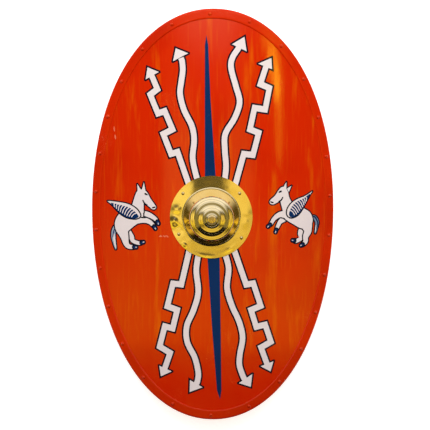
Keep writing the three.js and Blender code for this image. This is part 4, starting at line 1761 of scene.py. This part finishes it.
# What the camera looks at, as distances from the shield's middle
CAMERA_AIM = (0.0036, 0.0054)

# Scale and shift that bring the ceiling's places between 0 and 1
RAMP_SCALE = 2.0
RAMP_SHIFT = 0.8

# Light of the room, as linear red, green and blue
SIDE_LIGHT = (0.27, 0.235, 0.09, 1.0)
LEFT_LIGHT = (1.24, 1.01, 0.30, 1.0)
RIGHT_LIGHT = (1.12, 0.86, 0.21, 1.0)
WINDOW_LIGHT = (1.20, 1.24, 1.50, 1.0)
DOORWAY_DARK = (0.012, 0.010, 0.008, 1.0)


# The ceiling's colours from beyond the shield's foot to its top
CEILING = [
    (-0.36, (1.00, 0.76, 0.14)),
    (-0.28, (1.00, 0.76, 0.14)),
    (-0.262, (0.03, 0.02, 0.01)),
    (-0.209, (0.03, 0.02, 0.01)),
    (-0.199, (1.30, 1.05, 0.10)),
    (-0.150, (1.20, 0.95, 0.10)),
    (-0.130, (0.62, 0.45, 0.07)),
    (-0.116, (0.66, 0.47, 0.08)),
    (-0.104, (1.10, 0.84, 0.20)),
    (-0.092, (0.50, 0.38, 0.10)),
    (-0.082, (0.11, 0.09, 0.03)),
]


def make_world():
    """A soft room: warm overhead, bright towards the shield's top and dark beyond its foot."""
    world = bpy.data.worlds.new("soft_room")
    bpy.context.scene.world = world
    world.use_nodes = True
    world.node_tree.nodes.clear()
    nodes = Nodes(world.node_tree)
    output = nodes.add("ShaderNodeOutputWorld")
    light = nodes.add("ShaderNodeBackground")
    nodes.join(light.outputs[0], output.inputs[0])
    way = nodes.add("ShaderNodeTexCoord").outputs["Generated"]
    parts = nodes.add("ShaderNodeSeparateXYZ", {"Vector": way})
    east, north, high = parts.outputs[0], parts.outputs[1], parts.outputs[2]
    squares = [nodes.math("POWER", way_part, 2.0) for way_part in (east, north)]
    level = nodes.math("MAXIMUM", nodes.math("SQRT", nodes.math("ADD", *squares)), 0.001)
    towards_top = nodes.math("DIVIDE", north, level)
    uneven = nodes.math("MULTIPLY_ADD", nodes.noise(way, 7.0, 4.0, 0.6), 0.05, -0.025)
    beam = nodes.math("ADD", north, uneven)
    ceiling = nodes.add("ShaderNodeValToRGB")
    nodes.join(nodes.math("MULTIPLY_ADD", beam, RAMP_SCALE, RAMP_SHIFT), ceiling.inputs[0])
    stops = ceiling.color_ramp.elements
    for i, (at, colour) in enumerate(CEILING):
        position = at * RAMP_SCALE + RAMP_SHIFT
        stop = stops[i] if i < 2 else stops.new(position)
        stop.position = position
        stop.color = opaque(colour)
    sideways = nodes.math("ABSOLUTE", nodes.math("ADD", east, 0.012))
    beside = nodes.ramp(sideways, 0.125, 0.145)
    beside = nodes.math("MULTIPLY", beside, nodes.inverse(nodes.ramp(sideways, 0.28, 0.40)))
    beside = nodes.math("MULTIPLY", beside, nodes.ramp(beam, -0.10, -0.09))
    beside = nodes.math("MULTIPLY", beside, nodes.inverse(nodes.ramp(beam, -0.02, 0.03)))
    beside_colour = nodes.mix(nodes.ramp(east, -0.05, 0.05), LEFT_LIGHT, RIGHT_LIGHT)
    lit = nodes.mix(beside, ceiling.outputs[0], beside_colour)
    overhead = nodes.ramp(high, 0.45, 0.75)
    colour = nodes.mix(overhead, SIDE_LIGHT, lit)
    window = nodes.math("MULTIPLY", nodes.ramp(north, 0.045, 0.085), nodes.ramp(towards_top, 0.15, 0.60))
    window = nodes.math("MULTIPLY", window, nodes.ramp(high, 0.16, 0.52))
    colour = nodes.mix(window, colour, WINDOW_LIGHT)
    doorway = nodes.inverse(nodes.ramp(towards_top, -0.66, -0.52))
    doorway = nodes.math("MULTIPLY", doorway, nodes.inverse(nodes.ramp(high, 0.87, 0.925)))
    colour = nodes.mix(doorway, colour, DOORWAY_DARK)
    nodes.join(colour, light.inputs["Color"])
    light.inputs["Strength"].default_value = 1.0


class SCUTUM_OT_stage(bpy.types.Operator):
    """Makes the pale floor, the soft lights, the room and the camera"""

    bl_idname = "scutum.stage"
    bl_label = "Stage"

    def execute(self, context):
        stage = context.scene.scutum_stage
        half = stage.floor_size / 2
        corners = [(-half, -half, 0), (half, -half, 0), (half, half, 0), (-half, half, 0)]
        floor = new_mesh_object("floor", corners, [(0, 1, 2, 3)], False)
        floor.data.materials.append(floor_material())
        make_world()
        painted = bpy.data.collections.new("painted_pieces")
        for name in ("painted_board", "painted_rim", "rim_rivets"):
            painted.objects.link(bpy.data.objects[name])
        for number, (east, north, length, width, power) in enumerate(STREAK):
            middle = (east, north, STREAK_HEIGHT)
            aim = (STREAK_AIM[0], north * STREAK_AIM[1], STREAK_AIM[2])
            light = add_panel(f"streak_{number}", middle, aim, (length, width), power, STREAK_COLOUR)
            light.light_linking.receiver_collection = painted
        skylight = add_panel("skylight", (0.0, 1.15, 1.7), (0, 0.25, 0.1), (1.5, 0.9), 29, (1.0, 0.98, 0.96))
        skylight.visible_glossy = False
        self.make_camera(context, stage)
        context.scene.view_settings.view_transform = "Standard"
        return {"FINISHED"}

    def make_camera(self, context, stage):
        data = bpy.data.cameras.new("camera")
        data.lens = stage.lens
        data.sensor_width = 36
        camera = bpy.data.objects.new("camera", data)
        context.scene.collection.objects.link(camera)
        aim = Vector((*CAMERA_AIM, CROWN_HEIGHT))
        back = Vector(
            (
                math.sin(stage.yaw) * math.cos(stage.pitch),
                math.sin(stage.pitch),
                math.cos(stage.yaw) * math.cos(stage.pitch),
            )
        )
        right = Vector((0, 1, 0)).cross(back).normalized()
        up = back.cross(right)
        camera.matrix_world = Matrix.LocRotScale(
            aim + back * stage.distance, Matrix((right, up, back)).transposed(), None
        )
        context.scene.camera = camera


class SCUTUM_PT_panel(bpy.types.Panel):
    """Lists the shield's operators and sizes"""

    bl_label = "Scutum"
    bl_idname = "SCUTUM_PT_panel"
    bl_space_type = "VIEW_3D"
    bl_region_type = "UI"
    bl_category = "Scutum"

    def draw(self, context):
        for operator in OPERATORS:
            self.layout.operator(operator.bl_idname)
        for name, settings in SETTINGS.items():
            box = self.layout.box()
            for key in settings.__annotations__:
                box.prop(getattr(context.scene, name), key)


SETTINGS = {
    "scutum_board": ScutumBoardSettings,
    "scutum_rim": ScutumRimSettings,
    "scutum_boss": ScutumBossSettings,
    "scutum_grip": ScutumGripSettings,
    "scutum_stage": ScutumStageSettings,
}
OPERATORS = [
    SCUTUM_OT_board,
    SCUTUM_OT_rim,
    SCUTUM_OT_rim_rivets,
    SCUTUM_OT_boss,
    SCUTUM_OT_boss_rivets,
    SCUTUM_OT_grip,
    SCUTUM_OT_stage,
]


def register():
    for settings in SETTINGS.values():
        bpy.utils.register_class(settings)
    for operator in OPERATORS:
        bpy.utils.register_class(operator)
    bpy.utils.register_class(SCUTUM_PT_panel)
    for name, settings in SETTINGS.items():
        setattr(bpy.types.Scene, name, PointerProperty(type=settings))


def unregister():
    for name in SETTINGS:
        delattr(bpy.types.Scene, name)
    bpy.utils.unregister_class(SCUTUM_PT_panel)
    for operator in reversed(OPERATORS):
        bpy.utils.unregister_class(operator)
    for settings in reversed(SETTINGS.values()):
        bpy.utils.unregister_class(settings)


def main():
    register()
    bpy.ops.scutum.board()
    bpy.ops.scutum.rim()
    bpy.ops.scutum.rim_rivets()
    bpy.ops.scutum.boss()
    bpy.ops.scutum.boss_rivets()
    bpy.ops.scutum.grip()
    bpy.ops.scutum.stage()
    bpy.context.view_layer.update()


if __name__ == "__main__":
    main()
